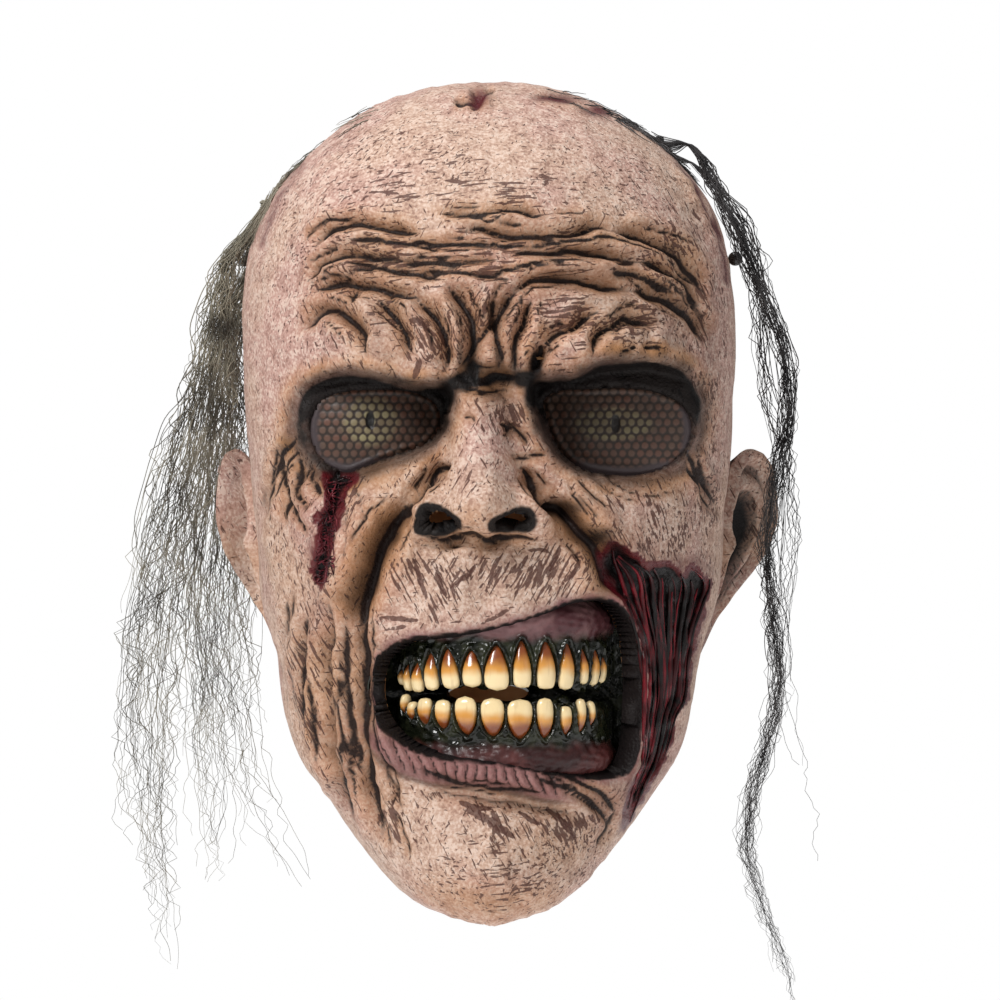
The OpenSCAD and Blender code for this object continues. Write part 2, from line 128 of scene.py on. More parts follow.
def through(points: Points, per_span: int = 4) -> Array:
    """Return points of a smooth curve through the given ones.

    Args:
        points: the places that the curve passes through.
        per_span: steps between two of them.

    Returns:
        An array of the curve's points, one a row.
    """
    p = np.array(points, float)
    if len(p) < 3:
        return p
    ends = np.vstack([2 * p[0] - p[1], p, 2 * p[-1] - p[-2]])
    rows = []
    for i in range(1, len(ends) - 2):
        a, b, c, d = ends[i - 1 : i + 3]
        for k in range(per_span):
            rows.append(between(a, b, c, d, k / per_span))
    rows.append(p[-1])
    return np.array(rows)


def to_line(x: Array, z: Array, line: Array) -> tuple[Array, Array]:
    """Return how far places are from a line, and how far along it, from 0 to 1, they are.

    Args:
        x: places across the face, in millimetres.
        z: heights, in millimetres.
        line: the line's points.

    Returns:
        The distances, and the shares of the line's length.
    """
    spans = np.hypot(*(line[1:] - line[:-1]).T)
    total, start = spans.sum(), 0.0
    best, along = np.full(x.shape, 1e9), np.zeros(x.shape)
    for (ax, az), (bx, bz), span in zip(line[:-1], line[1:], spans):
        if span < 1e-9:
            continue
        t = np.clip(((x - ax) * (bx - ax) + (z - az) * (bz - az)) / span**2, 0, 1)
        gap = np.hypot(x - ax - t * (bx - ax), z - az - t * (bz - az))
        closer = gap < best
        best = np.where(closer, gap, best)
        along = np.where(closer, (start + t * span) / total, along)
        start += span
    return best, along


def to_outline(x: Array, z: Array, outline: Array) -> Array:
    """Return how far places are from a closed outline: positive inside it and negative outside.

    Args:
        x: places across the face, in millimetres.
        z: heights, in millimetres.
        outline: the outline's points.

    Returns:
        The distances.
    """
    ring = np.vstack([outline, outline[:1]])
    gap, _ = to_line(x, z, ring)
    inside = np.zeros(x.shape, bool)
    for (ax, az), (bx, bz) in zip(ring[:-1], ring[1:]):
        if az == bz:
            continue
        crosses = (az > z) != (bz > z)
        inside ^= crosses & (x < ax + (z - az) * (bx - ax) / (bz - az))
    return np.where(inside, gap, -gap)


def behind_plane(x: Array, y: Array, z: Array) -> Array:
    """Return the points at depths y that the camera sees at places x, z of the front plane."""
    share = (CAMERA_BACK + y) / (CAMERA_BACK + FRONT_PLANE)
    return np.stack([CAMERA_X + (x - CAMERA_X) * share, y, z * share], -1)


def closed(points: Points, per_span: int = 4) -> Array:
    """Return the points of a smooth closed outline through the given ones.

    Args:
        points: the given points.
        per_span: how many points go between two of them.

    Returns:
        The outline's points.
    """
    n = len(points)
    line = through(points[-2:] + points + points[:2], per_span)
    return line[2 * per_span : (2 + n) * per_span]


# ---- Meshes ---------------------------------------------------------------------------------
def object_of(name: str, bm: bmesh.types.BMesh) -> Piece:
    """Return a new smooth-shaded object of a bmesh, which is freed.

    Args:
        name: the new name.
        bm: the bmesh.

    Returns:
        The object.
    """
    mesh = bpy.data.meshes.new(name)
    bm.to_mesh(mesh)
    bm.free()
    mesh.shade_smooth()
    made = bpy.data.objects.new(name, mesh)
    bpy.context.scene.collection.objects.link(made)
    return made


def grid(columns: int, rows: int, places: Array) -> bmesh.types.BMesh:
    """Return a bmesh grid moved to the given places.

    Args:
        columns: faces in a row.
        rows: rows of faces.
        places: one point for each corner, in metres, row after row.

    Returns:
        The bmesh.
    """
    bm = bmesh.new()
    bmesh.ops.create_grid(bm, x_segments=columns, y_segments=rows, size=1)
    flat = places.reshape(-1, 3)
    for vert, place in zip(bm.verts, flat):
        vert.co = place
    return bm


def lay_values(bm: bmesh.types.BMesh, values: dict[str, Array]) -> dict:
    """Store named numbers on a bmesh's corner points.

    Args:
        bm: the bmesh, whose points are in the order of the values.
        values: for each name, one number for each point.

    Returns:
        The new layers, by name.
    """
    layers = {name: bm.verts.layers.float.new(name) for name in values}
    flat = {name: value.ravel() for name, value in values.items()}
    for i, vert in enumerate(bm.verts):
        for name, layer in layers.items():
            vert[layer] = flat[name][i]
    return layers


def set_values(mesh: bpy.types.Mesh, name: str, values: Array) -> None:
    """Store one number for each corner point of a mesh."""
    made = mesh.attributes.new(name, "FLOAT", "POINT")
    made.data.foreach_set("value", np.asarray(values, np.float32))


def coordinates(mesh: bpy.types.Mesh) -> Array:
    """Return a mesh's points, one a row.

    Args:
        mesh: the mesh.

    Returns:
        The points.
    """
    co = np.zeros(len(mesh.vertices) * 3, np.float32)
    mesh.vertices.foreach_get("co", co)
    return co.reshape(-1, 3).astype(float)


def bake(made: Piece) -> Piece:
    """Apply an object's modifiers and return it.

    Args:
        made: the object.

    Returns:
        The same object.
    """
    graph = bpy.context.evaluated_depsgraph_get()
    mesh = bpy.data.meshes.new_from_object(made.evaluated_get(graph))
    made.modifiers.clear()
    made.data = mesh
    return made


def tubes(name: str, lines: list[Array], radii: list[Array]) -> Piece:
    """Return one mesh of thin four-sided tubes, each with its own thickness along its line.

    Args:
        name: the new name.
        lines: the middle line of each tube, in millimetres.
        radii: the radius at each point of each line.

    Returns:
        The object.
    """
    curve = bpy.data.curves.new(name, "CURVE")
    curve.dimensions = "3D"
    curve.bevel_depth = MM
    curve.bevel_resolution = 0
    curve.use_fill_caps = True
    for line, radius in zip(lines, radii):
        spline = curve.splines.new("POLY")
        spline.points.add(len(line) - 1)
        spline.points.foreach_set("co", np.hstack([line * MM, np.ones((len(line), 1))]).ravel())
        spline.points.foreach_set("radius", np.asarray(radius, np.float32))
    source = bpy.data.objects.new(name + "_lines", curve)
    bpy.context.scene.collection.objects.link(source)
    graph = bpy.context.evaluated_depsgraph_get()
    mesh = bpy.data.meshes.new_from_object(source.evaluated_get(graph))
    bpy.data.objects.remove(source)
    bpy.data.curves.remove(curve)
    mesh.name = name
    mesh.shade_smooth()
    made = bpy.data.objects.new(name, mesh)
    bpy.context.scene.collection.objects.link(made)
    return made


# ---- Finishes -------------------------------------------------------------------------------
class Nodes:
    """A node tree, with short ways to add its nodes."""

    def __init__(self, tree: bpy.types.NodeTree) -> None:
        """Start with the tree's object coordinates."""
        self.nodes, self.links = tree.nodes, tree.links
        self.place = self.nodes.new("ShaderNodeTexCoord").outputs["Object"]

    def plug(self, value: object, socket: Socket) -> None:
        """Link a socket, or set a number or a colour.

        Args:
            value: a socket, a number or a colour.
            socket: where it goes.
        """
        if isinstance(value, Socket):
            self.links.new(value, socket)
        else:
            socket.default_value = (*value, 1) if isinstance(value, tuple) else value

    def attribute(self, name: str) -> Socket:
        """Return a number stored on the mesh.

        Args:
            name: the stored name.

        Returns:
            The number's socket.
        """
        node = self.nodes.new("ShaderNodeAttribute")
        node.attribute_name = name
        return node.outputs["Fac"]

    def noise(self, size: float, detail: float = 3, place: object = None) -> Socket:
        """Return noise whose patches are about size millimetres wide.

        Args:
            size: the patches' width, in millimetres.
            detail: how many finer layers it has.
            place: the coordinates to use in place of the object's own.

        Returns:
            The noise's socket.
        """
        node = self.nodes.new("ShaderNodeTexNoise")
        node.inputs["Scale"].default_value = 1000 / size / 2
        node.inputs["Detail"].default_value = detail
        self.links.new(place or self.place, node.inputs["Vector"])
        return node.outputs["Fac"]

    def stretched(self, x: float, y: float, z: float) -> Socket:
        """Return object coordinates multiplied along each axis.

        Args:
            x: the factor along the width.
            y: the factor along the depth.
            z: the factor along the height.

        Returns:
            The coordinates' socket.
        """
        node = self.nodes.new("ShaderNodeMapping")
        node.inputs["Scale"].default_value = (x, y, z)
        self.links.new(self.place, node.inputs["Vector"])
        return node.outputs["Vector"]

    def streaks(self, turn: float, width: float, length: float) -> Socket:
        """Return noise dragged out along a direction of the face.

        Args:
            turn: the direction, in degrees up from level.
            width: how wide a streak is, in millimetres.
            length: how long it is.

        Returns:
            The noise.
        """
        node = self.nodes.new("ShaderNodeMapping")
        node.vector_type = "TEXTURE"
        node.inputs["Rotation"].default_value = (0, -math.radians(turn), 0)
        node.inputs["Scale"].default_value = (length / width, 1.6, 1)
        self.links.new(self.place, node.inputs["Vector"])
        return self.noise(width, 2, node.outputs["Vector"])

    def math(self, kind: str, a: object, b: object = 0.0) -> Socket:
        """Return a sum, product or other result of two numbers.

        Args:
            kind: the operation's name.
            a: the first of the two.
            b: the second of the two.

        Returns:
            The result's socket.
        """
        node = self.nodes.new("ShaderNodeMath")
        node.operation = kind
        self.plug(a, node.inputs[0])
        self.plug(b, node.inputs[1])
        return node.outputs[0]

    def times(self, a: object, b: object) -> Socket:
        """Return the product of two numbers."""
        return self.math("MULTIPLY", a, b)

    def ragged(self, value: object, noise: object, much: float) -> Socket:
        """Return a value made uneven by noise."""
        return self.math("ADD", value, self.times(self.math("SUBTRACT", noise, 0.5), much))

    def span(
        self, value: object, low: object, high: object, to_low: float = 0, to_high: float = 1,
    ) -> Socket:
        """Return a value moved smoothly from one range to another.

        Args:
            value: the value's socket.
            low: where the range starts.
            high: where it ends.
            to_low: where the new range starts.
            to_high: where it ends.

        Returns:
            The new value's socket.
        """
        node = self.nodes.new("ShaderNodeMapRange")
        node.interpolation_type = "SMOOTHSTEP"
        for name, number in zip(("From Min", "From Max", "To Min", "To Max"), (low, high, to_low, to_high)):
            self.plug(number, node.inputs[name])
        self.links.new(value, node.inputs["Value"])
        return node.outputs["Result"]

    def mix(self, share: object, a: object, b: object) -> Socket:
        """Return colour a changed to colour b by a share.

        Args:
            share: how much of the second one shows.
            a: the first of the two.
            b: the second of the two.

        Returns:
            The colour's socket.
        """
        node = self.nodes.new("ShaderNodeMix")
        node.data_type = "RGBA"
        self.plug(share, node.inputs["Factor"])
        for value, socket in ((a, node.inputs[6]), (b, node.inputs[7])):
            self.plug(value, socket)
        return node.outputs[2]


class Effect(Nodes):
    """A shader node group: named inputs on one side and named results on the other."""

    def __init__(self, name: str) -> None:
        """Start an empty group.

        Args:
            name: the new name.
        """
        self.tree = bpy.data.node_groups.new(name, "ShaderNodeTree")
        super().__init__(self.tree)
        self.given = self.nodes.new("NodeGroupInput")
        self.result = self.nodes.new("NodeGroupOutput")

    def take(self, name: str, kind: str = "NodeSocketFloat") -> Socket:
        """Add a named input and return it."""
        self.tree.interface.new_socket(name=name, in_out="INPUT", socket_type=kind)
        return self.given.outputs[name]

    def colours(self, *names: str) -> list[Socket]:
        """Add named colour inputs and return them."""
        return [self.take(name, "NodeSocketColor") for name in names]

    def give(self, name: str, value: Socket, kind: str = "NodeSocketFloat") -> None:
        """Add a named result."""
        self.tree.interface.new_socket(name=name, in_out="OUTPUT", socket_type=kind)
        self.links.new(value, self.result.inputs[name])

    @staticmethod
    def shared(name: str, lay: Callable[["Effect"], None]) -> bpy.types.NodeTree:
        """Return the named group, laid out the first time that a material asks for it.

        Args:
            name: the group's name.
            lay: what fills a new node group.

        Returns:
            The node tree of the group.
        """
        known = bpy.data.node_groups.get(name)
        if known is not None:
            return known
        made = Effect(name)
        lay(made)
        return made.tree


def lay_mottle(effect: Effect) -> None:
    """Lay out two colours in soft patches.

    Args:
        effect: the node group to fill.
    """
    first, second = effect.colours("First", "Second")
    scale, low, high = (effect.take(name) for name in ("Scale", "Low", "High"))
    patches = effect.noise(1, 3)
    effect.links.new(scale, patches.node.inputs["Scale"])
    mask = effect.span(patches, low, high)
    effect.give("Colour", effect.mix(mask, first, second), "NodeSocketColor")
    effect.give("Mask", mask)


class Paint(Nodes):
    """The node tree of one material."""

    def __init__(self, name: str) -> None:
        """Start a material with a Principled shader.

        Args:
            name: the new name.
        """
        self.material = bpy.data.materials.new(name)
        self.material.use_nodes = True
        super().__init__(self.material.node_tree)
        self.shader = self.nodes["Principled BSDF"]

    def set(self, **sockets: float) -> None:
        """Set the shader's own sockets; an underscore stands for a space."""
        for name, value in sockets.items():
            self.shader.inputs[name.replace("_", " ")].default_value = value

    def feed(self, source: Socket, socket: str) -> None:
        """Link a value to one of the shader's sockets."""
        self.links.new(source, self.shader.inputs[socket])

    def use(self, tree: bpy.types.NodeTree, **values: object) -> bpy.types.NodeOutputs:
        """Add a shared effect with its inputs set, and return its results.

        Args:
            tree: the node group's tree.
            values: a value or a socket for each of the group's inputs.

        Returns:
            The node that stands for the group.
        """
        node = self.nodes.new("ShaderNodeGroup")
        node.node_tree = tree
        for name, value in values.items():
            self.plug(value, node.inputs[name])
        return node.outputs

    def mottle(
        self, first: tuple, second: tuple, size: float, low: float = 0.35, high: float = 0.65,
    ) -> bpy.types.NodeOutputs:
        """Add two colours in patches about size millimetres wide, and return the colour and its mask."""
        tree = Effect.shared("mottle", lay_mottle)
        return self.use(tree, First=first, Second=second, Scale=1000 / size / 2, Low=low, High=high)

    def bump(self, height: object, depth: float) -> None:
        """Raise and lower the surface's shading by a height times depth millimetres.

        Args:
            height: the height to use.
            depth: its depth, in millimetres.
        """
        node = self.nodes.new("ShaderNodeBump")
        node.inputs["Distance"].default_value = depth * MM
        self.links.new(height, node.inputs["Height"])
        self.feed(node.outputs["Normal"], "Normal")


class Drag(Enum):
    """The ways in which brown paint is dragged over the skin, in degrees up from level."""

    FALLING = -62
    LEVEL = 4
    RISING = 60


@dataclass(frozen=True)
class SkinFinish:
    """Painted latex: stippled flesh, airbrushed folds with painted shade in them, black paint with painted
    shade in the hollows, dragged streaks and old blood.
    """

    flesh: tuple = (0.50, 0.335, 0.255)
    rosy: tuple = (0.46, 0.28, 0.235)
    cream: tuple = (0.70, 0.55, 0.46)
    speck: tuple = (0.22, 0.115, 0.085)
    tan: tuple = (0.44, 0.21, 0.085)
    # Colour of the painted shade over the shaded patches, round the creases and round the sockets.
    shade_paint: tuple = (0.030, 0.015, 0.010)
    # Colour of the painted shade down the middle of each crease.
    line: tuple = (0.012, 0.006, 0.005)
    # Black paint, also laid as painted shade in the sockets, wounds, mouth and nostril edges and ear bowls.
    black_paint_and_shade: tuple = (0.005, 0.004, 0.004)
    stroke: tuple = (0.085, 0.036, 0.028)
    blood: tuple = (0.085, 0.005, 0.009)
    mauve: tuple = (0.23, 0.10, 0.10)

    def material(self) -> Material:
        """Return the material of the painted outside.

        Returns:
            The material.
        """
        p = Paint("painted_latex")
        fine, small = p.noise(0.55, 2), p.noise(2.4, 3)
        large, grit = p.noise(22, 3), p.noise(0.45, 1)
        skin = p.mix(p.span(large, 0.38, 0.62), self.flesh, self.rosy)
        stipple = p.math("ADD", p.times(fine, 0.6), p.times(small, 0.4))
        skin = p.mix(p.times(p.span(stipple, 0.48, 0.60), 0.68), skin, self.cream)
        skin = p.mix(p.times(p.span(stipple, 0.47, 0.38), 0.60), skin, self.speck)
        skin = p.mix(p.times(p.attribute("warm"), 0.85), skin, self.tan)
        skin = p.mix(p.times(p.attribute("mauve"), 0.85), skin, self.mauve)
        skin = p.mix(p.times(self.drags(p), 0.88), skin, self.stroke)
        ragged = p.math("ADD", p.attribute("dash"), p.times(p.noise(0.9, 3), 1.1))
        skin = p.mix(p.times(p.span(ragged, 0.75, 0.95), 0.85), skin, self.stroke)
        shade = p.ragged(p.attribute("shade"), p.noise(5, 4), 0.7)
        skin = p.mix(p.span(shade, 0.05, 1.0, 0, 0.85), skin, self.shade_paint)
        # Painted shade: dark lines down the creases, the troughs of the lip's ribs and the ears' grooves.
        streak_and_crease_shade = p.ragged(p.attribute("dark"), fine, 0.45)
        skin = p.mix(p.span(streak_and_crease_shade, 0.22, 0.66, 0, 0.97), skin, self.line)
        bloody = p.ragged(p.attribute("blood"), small, 0.6)
        skin = p.mix(p.span(bloody, 0.15, 0.85, 0, 0.95), skin, self.blood)
        # Black paint and painted shade in the hollows.
        black_and_shade_mix = p.ragged(p.attribute("black_paint_and_shade"), small, 0.35)
        skin = p.mix(p.span(black_and_shade_mix, 0.15, 0.7, 0, 0.985), skin, self.black_paint_and_shade)
        p.feed(skin, "Base Color")
        p.feed(p.span(p.attribute("blood"), 0.1, 0.9, 0.55, 0.34), "Roughness")
        p.set(Specular_IOR_Level=0.16)
        relief = p.math("ADD", p.times(small, 0.7), p.times(grit, 0.6))
        p.bump(p.math("SUBTRACT", relief, p.times(self.drags(p), 0.45)), 0.6)
        return p.material

    @staticmethod
    def drags(p: Paint) -> Socket:
        """Return the dragged streaks of all ways together, from 0 to 1.

        Args:
            p: the material's nodes.

        Returns:
            The strength of the paint, as a socket.
        """
        total = None
        clump = p.span(p.noise(8, 2), 0.36, 0.64, 0.07, 0.26)
        for way in Drag:
            streak = p.streaks(way.value, 0.46, 4.0)
            streak_and_crease_shade = p.math("ADD", streak, p.times(p.attribute(way.name.lower()), clump))
            mark = p.span(streak_and_crease_shade, 0.675, 0.73)
            total = mark if total is None else p.math("MAXIMUM", total, mark)
        return total


@dataclass(frozen=True)
class LiningFinish:
    """The unpainted inside of the casting: amber rubber."""

    rubber: tuple = (0.30, 0.13, 0.05)
    pale: tuple = (0.42, 0.22, 0.10)

    def material(self) -> Material:
        """Return the material of the inside.

        Returns:
            The material.
        """
        p = Paint("latex_lining")
        p.feed(p.mottle(self.rubber, self.pale, 14)["Colour"], "Base Color")
        p.set(Roughness=0.5)
        p.bump(p.noise(2.5, 3), 0.4)
        return p.material


@dataclass(frozen=True)
class GumFinish:
    """Glossy black gums that turn to bruised lip lining away from the teeth."""

    name: str
    lining: tuple
    pale: tuple
    tar: tuple = (0.006, 0.007, 0.004)
    moss: tuple = (0.020, 0.022, 0.010)

    def material(self) -> Material:
        """Return the wet gum material.

        Returns:
            The material.
        """
        p = Paint(self.name)
        tree = Effect.shared("wet_gum", self.lay)
        gum = p.use(tree, Tar=self.tar, Moss=self.moss, Lining=self.lining, Pale=self.pale)
        p.feed(gum["Colour"], "Base Color")
        p.feed(gum["Roughness"], "Roughness")
        p.set(Specular_IOR_Level=0.38)
        p.bump(gum["Height"], 0.6)
        return p.material

    @staticmethod
    def lay(effect: Effect) -> None:
        """Lay out black gum that turns to lining by the mesh's own share.

        Args:
            effect: the node group to fill.
        """
        tar, moss, lining, pale = effect.colours("Tar", "Moss", "Lining", "Pale")
        small, away = effect.noise(3.0, 3), effect.attribute("lining")
        black = effect.mix(effect.span(small, 0.45, 0.65), tar, moss)
        flesh = effect.mix(effect.span(effect.noise(6, 3), 0.4, 0.65), lining, pale)
        effect.give("Colour", effect.mix(away, black, flesh), "NodeSocketColor")
        dull = effect.times(away, 0.30)
        effect.give("Roughness", effect.math("ADD", effect.span(small, 0.35, 0.7, 0.12, 0.26), dull))
        effect.give("Height", effect.noise(1.8, 3))


@dataclass(frozen=True)
class ToothFinish:
    """Stained enamel: cream at the cutting edge, gold, and burnt orange at the root."""

    cream: tuple = (0.80, 0.62, 0.34)
    gold: tuple = (0.62, 0.28, 0.055)
    burnt: tuple = (0.21, 0.048, 0.010)

    def material(self) -> Material:
        """Return the enamel material.

        Returns:
            The material.
        """
        p = Paint("stained_enamel")
        root = p.ragged(p.attribute("root"), p.noise(4, 2), 0.35)
        skin = p.mix(p.span(root, 0.26, 0.52), self.cream, self.gold)
        skin = p.mix(p.span(root, 0.48, 0.76), skin, self.burnt)
        streak = p.noise(0.8, 2, p.stretched(1, 1, 0.15))
        p.feed(p.mix(p.times(p.span(streak, 0.55, 0.75), 0.18), skin, self.burnt), "Base Color")
        p.set(Roughness=0.2, Coat_Weight=0.4, Coat_Roughness=0.08)
        p.bump(p.noise(2.5, 2, p.stretched(1, 1, 0.3)), 0.25)
        return p.material


@dataclass(frozen=True)
class LensFinish:
    """Printed mesh eye: dots inside a dark web, pale in the iris, with a slit pupil."""

    name: str
    # How much painted shade darkens the whole lens.
    dim: float
    web: tuple = (0.022, 0.013, 0.009)
    slit: tuple = (0.002, 0.002, 0.002)
    dot: tuple = (0.100, 0.060, 0.042)
    red: tuple = (0.125, 0.050, 0.032)
    iris: tuple = (0.27, 0.23, 0.12)
    band: tuple = (0.06, 0.045, 0.05)

    def material(self) -> Material:
        """Return the printed lens material.

        Returns:
            The material.
        """
        p = Paint(self.name)
        eye = p.use(
            Effect.shared("printed_eye", self.lay), Web=self.web, Slit=self.slit, Dot=self.dot,
            Red=self.red, Iris=self.iris, Band=self.band, Dim=self.dim,
        )
        p.feed(eye["Colour"], "Base Color")
        p.set(Roughness=0.45, Specular_IOR_Level=0.35)
        p.bump(eye["Height"], 0.15)
        return p.material

    @staticmethod
    def lay(effect: Effect) -> None:
        """Lay out the dots, the iris, the pupil and the bare border by the mesh's own shares, then darken
        it in patches and by the painted shade.

        Args:
            effect: the node group to fill.
        """
        web, slit, plain, red, pale, border = effect.colours("Web", "Slit", "Dot", "Red", "Iris", "Band")
        tone = effect.attribute("tone")
        dot = effect.mix(effect.times(tone, 0.8), plain, red)
        iris = effect.mix(effect.times(tone, 0.7), pale, plain)
        dot = effect.mix(effect.span(effect.attribute("iris"), 0.25, 0.75), dot, iris)
        rough = effect.times(effect.math("SUBTRACT", effect.noise(0.8, 2), 0.5), 0.45)
        holes = effect.math("ADD", effect.attribute("cell"), rough)
        eye = effect.mix(effect.span(holes, -0.2, 0.34), web, dot)
        eye = effect.mix(effect.span(effect.attribute("pupil"), -0.1, 0.25), eye, slit)
        eye = effect.mix(effect.attribute("band"), eye, border)
        # Random dark patches, plus the lens's painted shade.
        patches_and_shade = effect.math("ADD", effect.span(effect.noise(9, 3), 0.35, 0.7, 0, 0.35), effect.take("Dim"))
        effect.give("Colour", effect.mix(patches_and_shade, eye, web), "NodeSocketColor")
        effect.give("Height", effect.noise(1.0, 2))


@dataclass(frozen=True)
class WetFinish:
    """Torn muscle: dark red fibres under a glossy coat."""

    name: str
    deep: tuple
    bright: tuple

    def material(self) -> Material:
        """Return the wet fibre material.

        Returns:
            The material.
        """
        p = Paint(self.name)
        wet = p.use(Effect.shared("wet_fibre", self.lay), Deep=self.deep, Bright=self.bright)
        p.feed(wet["Colour"], "Base Color")
        p.feed(wet["Roughness"], "Roughness")
        p.set(Specular_IOR_Level=0.22)
        p.bump(wet["Height"], 0.6)
        return p.material

    @staticmethod
    def lay(effect: Effect) -> None:
        """Lay out streaks of two reds that run down the fibres.

        Args:
            effect: the node group to fill.
        """
        deep, bright = effect.colours("Deep", "Bright")
        along = effect.noise(1.4, 3, effect.stretched(1, 1, 0.16))
        effect.give("Colour", effect.mix(effect.span(along, 0.4, 0.66), deep, bright), "NodeSocketColor")
        effect.give("Roughness", effect.span(effect.noise(5, 2), 0.35, 0.7, 0.24, 0.46))
        effect.give("Height", along)


@dataclass(frozen=True)
class HairFinish:
    """Dull crimped fibre in two shades."""

    name: str
    dark: tuple
    light: tuple

    def material(self) -> Material:
        """Return the fibre material.

        Returns:
            The material.
        """
        p = Paint(self.name)
        p.feed(p.mottle(self.dark, self.light, 7)["Colour"], "Base Color")
        p.set(Roughness=0.5)
        p.bump(p.noise(0.8, 2), 0.1)
        return p.material


@dataclass(frozen=True)
class BeadFinish:
    """Black glossy resin with a few dull patches."""

    resin: tuple = (0.010, 0.009, 0.009)
    dust: tuple = (0.06, 0.05, 0.045)

    def material(self) -> Material:
        """Return the bead material.

        Returns:
            The material.
        """
        p = Paint("black_resin")
        patches = p.mottle(self.resin, self.dust, 1.8, 0.5, 0.7)
        p.feed(patches["Colour"], "Base Color")
        p.feed(p.span(patches["Mask"], 0, 1, 0.15, 0.5), "Roughness")
        p.bump(p.noise(0.9, 2), 0.2)
        return p.material


BEADS = ("left_bead", "right_bead")
MARKS = ("dark", "shade", "warm", "blood", "mauve", "black_paint_and_shade", "falling", "level", "rising")


# ---- The head -------------------------------------------------------------------------------
@dataclass(frozen=True)
class Stroke:
    """A line worked into the clay: a crease if its height is negative, a ridge if not."""

    width: float
    height: float
    line: Points
    tone: float = 1.0


def crease(width: float, depth: float, *line: tuple[float, float], tone: float = 1.0) -> Stroke:
    """Return a crease with painted shade in it."""
    return Stroke(width, -depth, line, tone)


def ridge(width: float, height: float, *line: tuple[float, float]) -> Stroke:
    """Return a rounded ridge or lump, with no painted shade."""
    return Stroke(width, height, line, 0.0)


FOREHEAD = (
    crease(1.3, 1.6, (-18, 93.5), (-12, 92.7), (-4, 92.3), (2, 93.2), (7, 94), (12, 93.3), (20, 90.8)),
    crease(0.9, 0.8, (20, 92), (26, 93), (32, 92.3), tone=0.6),
    crease(1.7, 2.6, (-57, 81), (-52, 87.5), (-48, 89), (-42, 89.8), (-36, 88.8), (-28, 87.2), (-20, 86)),
    crease(1.8, 2.8, (-10, 87), (-4, 87.8), (2, 87), (11, 85.5), (18, 85.5), (26, 86), (35, 88.5),
        (42, 87.3)),
    crease(2.0, 3.2, (40, 88), (48, 86), (53, 84), (58, 82), (62, 79), (65, 75.5), (68, 71.5), (70, 66)),
    crease(1.6, 2.4, (-59, 70), (-57, 73), (-53, 76.5), (-48, 79), (-42, 80), (-36, 78.8), (-25, 77.7)),
    crease(0.9, 0.9, (-24, 79), (-16, 79.3), (-8, 79), tone=0.7),
    crease(1.8, 2.8, (5, 78.5), (12, 80), (20, 80.3), (28, 80.5), (36, 79.8), (42, 78), (50, 77)),
    crease(1.8, 2.8, (48, 77.2), (55, 75.5), (60, 72.5), (64, 69), (67, 65), (69, 61)),
    crease(0.9, 1.0, (0, 83), (5, 82.2), (10, 82.5)),
    crease(1.6, 2.2, (-46, 75.5), (-40, 76), (-35, 75), (-30, 74), (-25, 74), (-20, 73), (-14, 71.3)),
    crease(0.9, 1.0, (0, 73), (6, 74.5), (13, 76), (20, 77), (26, 75.8)),
    crease(1.4, 1.8, (37, 74.8), (41, 73.3), (47, 73), (52, 70.5), (57, 68), (61, 66.3)),
    crease(1.9, 2.8, (-58, 66), (-54, 68.5), (-48, 70.5), (-42, 69.5), (-36, 68.8), (-26, 66), (-21, 65.5)),
    crease(2.0, 3.0, (5, 69), (10, 69), (14, 71.5), (20, 71.8), (28, 71.5), (33, 70), (40, 69), (48, 67.5)),
    crease(2.0, 3.0, (46, 68), (55, 66), (60, 64), (64, 61.5), (67, 59), (69, 55), (70, 51)),
    crease(1.1, 1.4, (-27, 84.5), (-17, 83), (-7, 83.2), (3, 81.8)),
    crease(1.1, 1.4, (-32, 77.8), (-20, 76.2), (-9, 76.8), (4, 78)),
    crease(1.0, 1.1, (-22, 72.5), (-12, 73.8), (-2, 73), (8, 71.5)),
    crease(0.9, 1.0, (-44, 84), (-34, 83), (-24, 82.5), (-14, 80.5)),
    crease(0.9, 1.0, (14, 83), (26, 83.4), (38, 84.5), (50, 81.5), (58, 77.5)),
    ridge(2.6, 1.6, (-52, 84), (-45, 85.5), (-36, 84.5), (-26, 83)),
    ridge(2.6, 1.5, (2, 83.5), (14, 82.8), (28, 83.5), (40, 83.5), (52, 80.5), (62, 75)),
    ridge(2.4, 1.5, (-54, 72), (-47, 74.8), (-38, 73.5)),
    ridge(2.4, 1.6, (8, 74.5), (18, 74), (30, 75.5), (40, 75.5), (50, 74), (60, 69), (66, 62)),
    ridge(2.4, 1.2, (-14, 90), (-2, 90.2), (8, 90)),
)
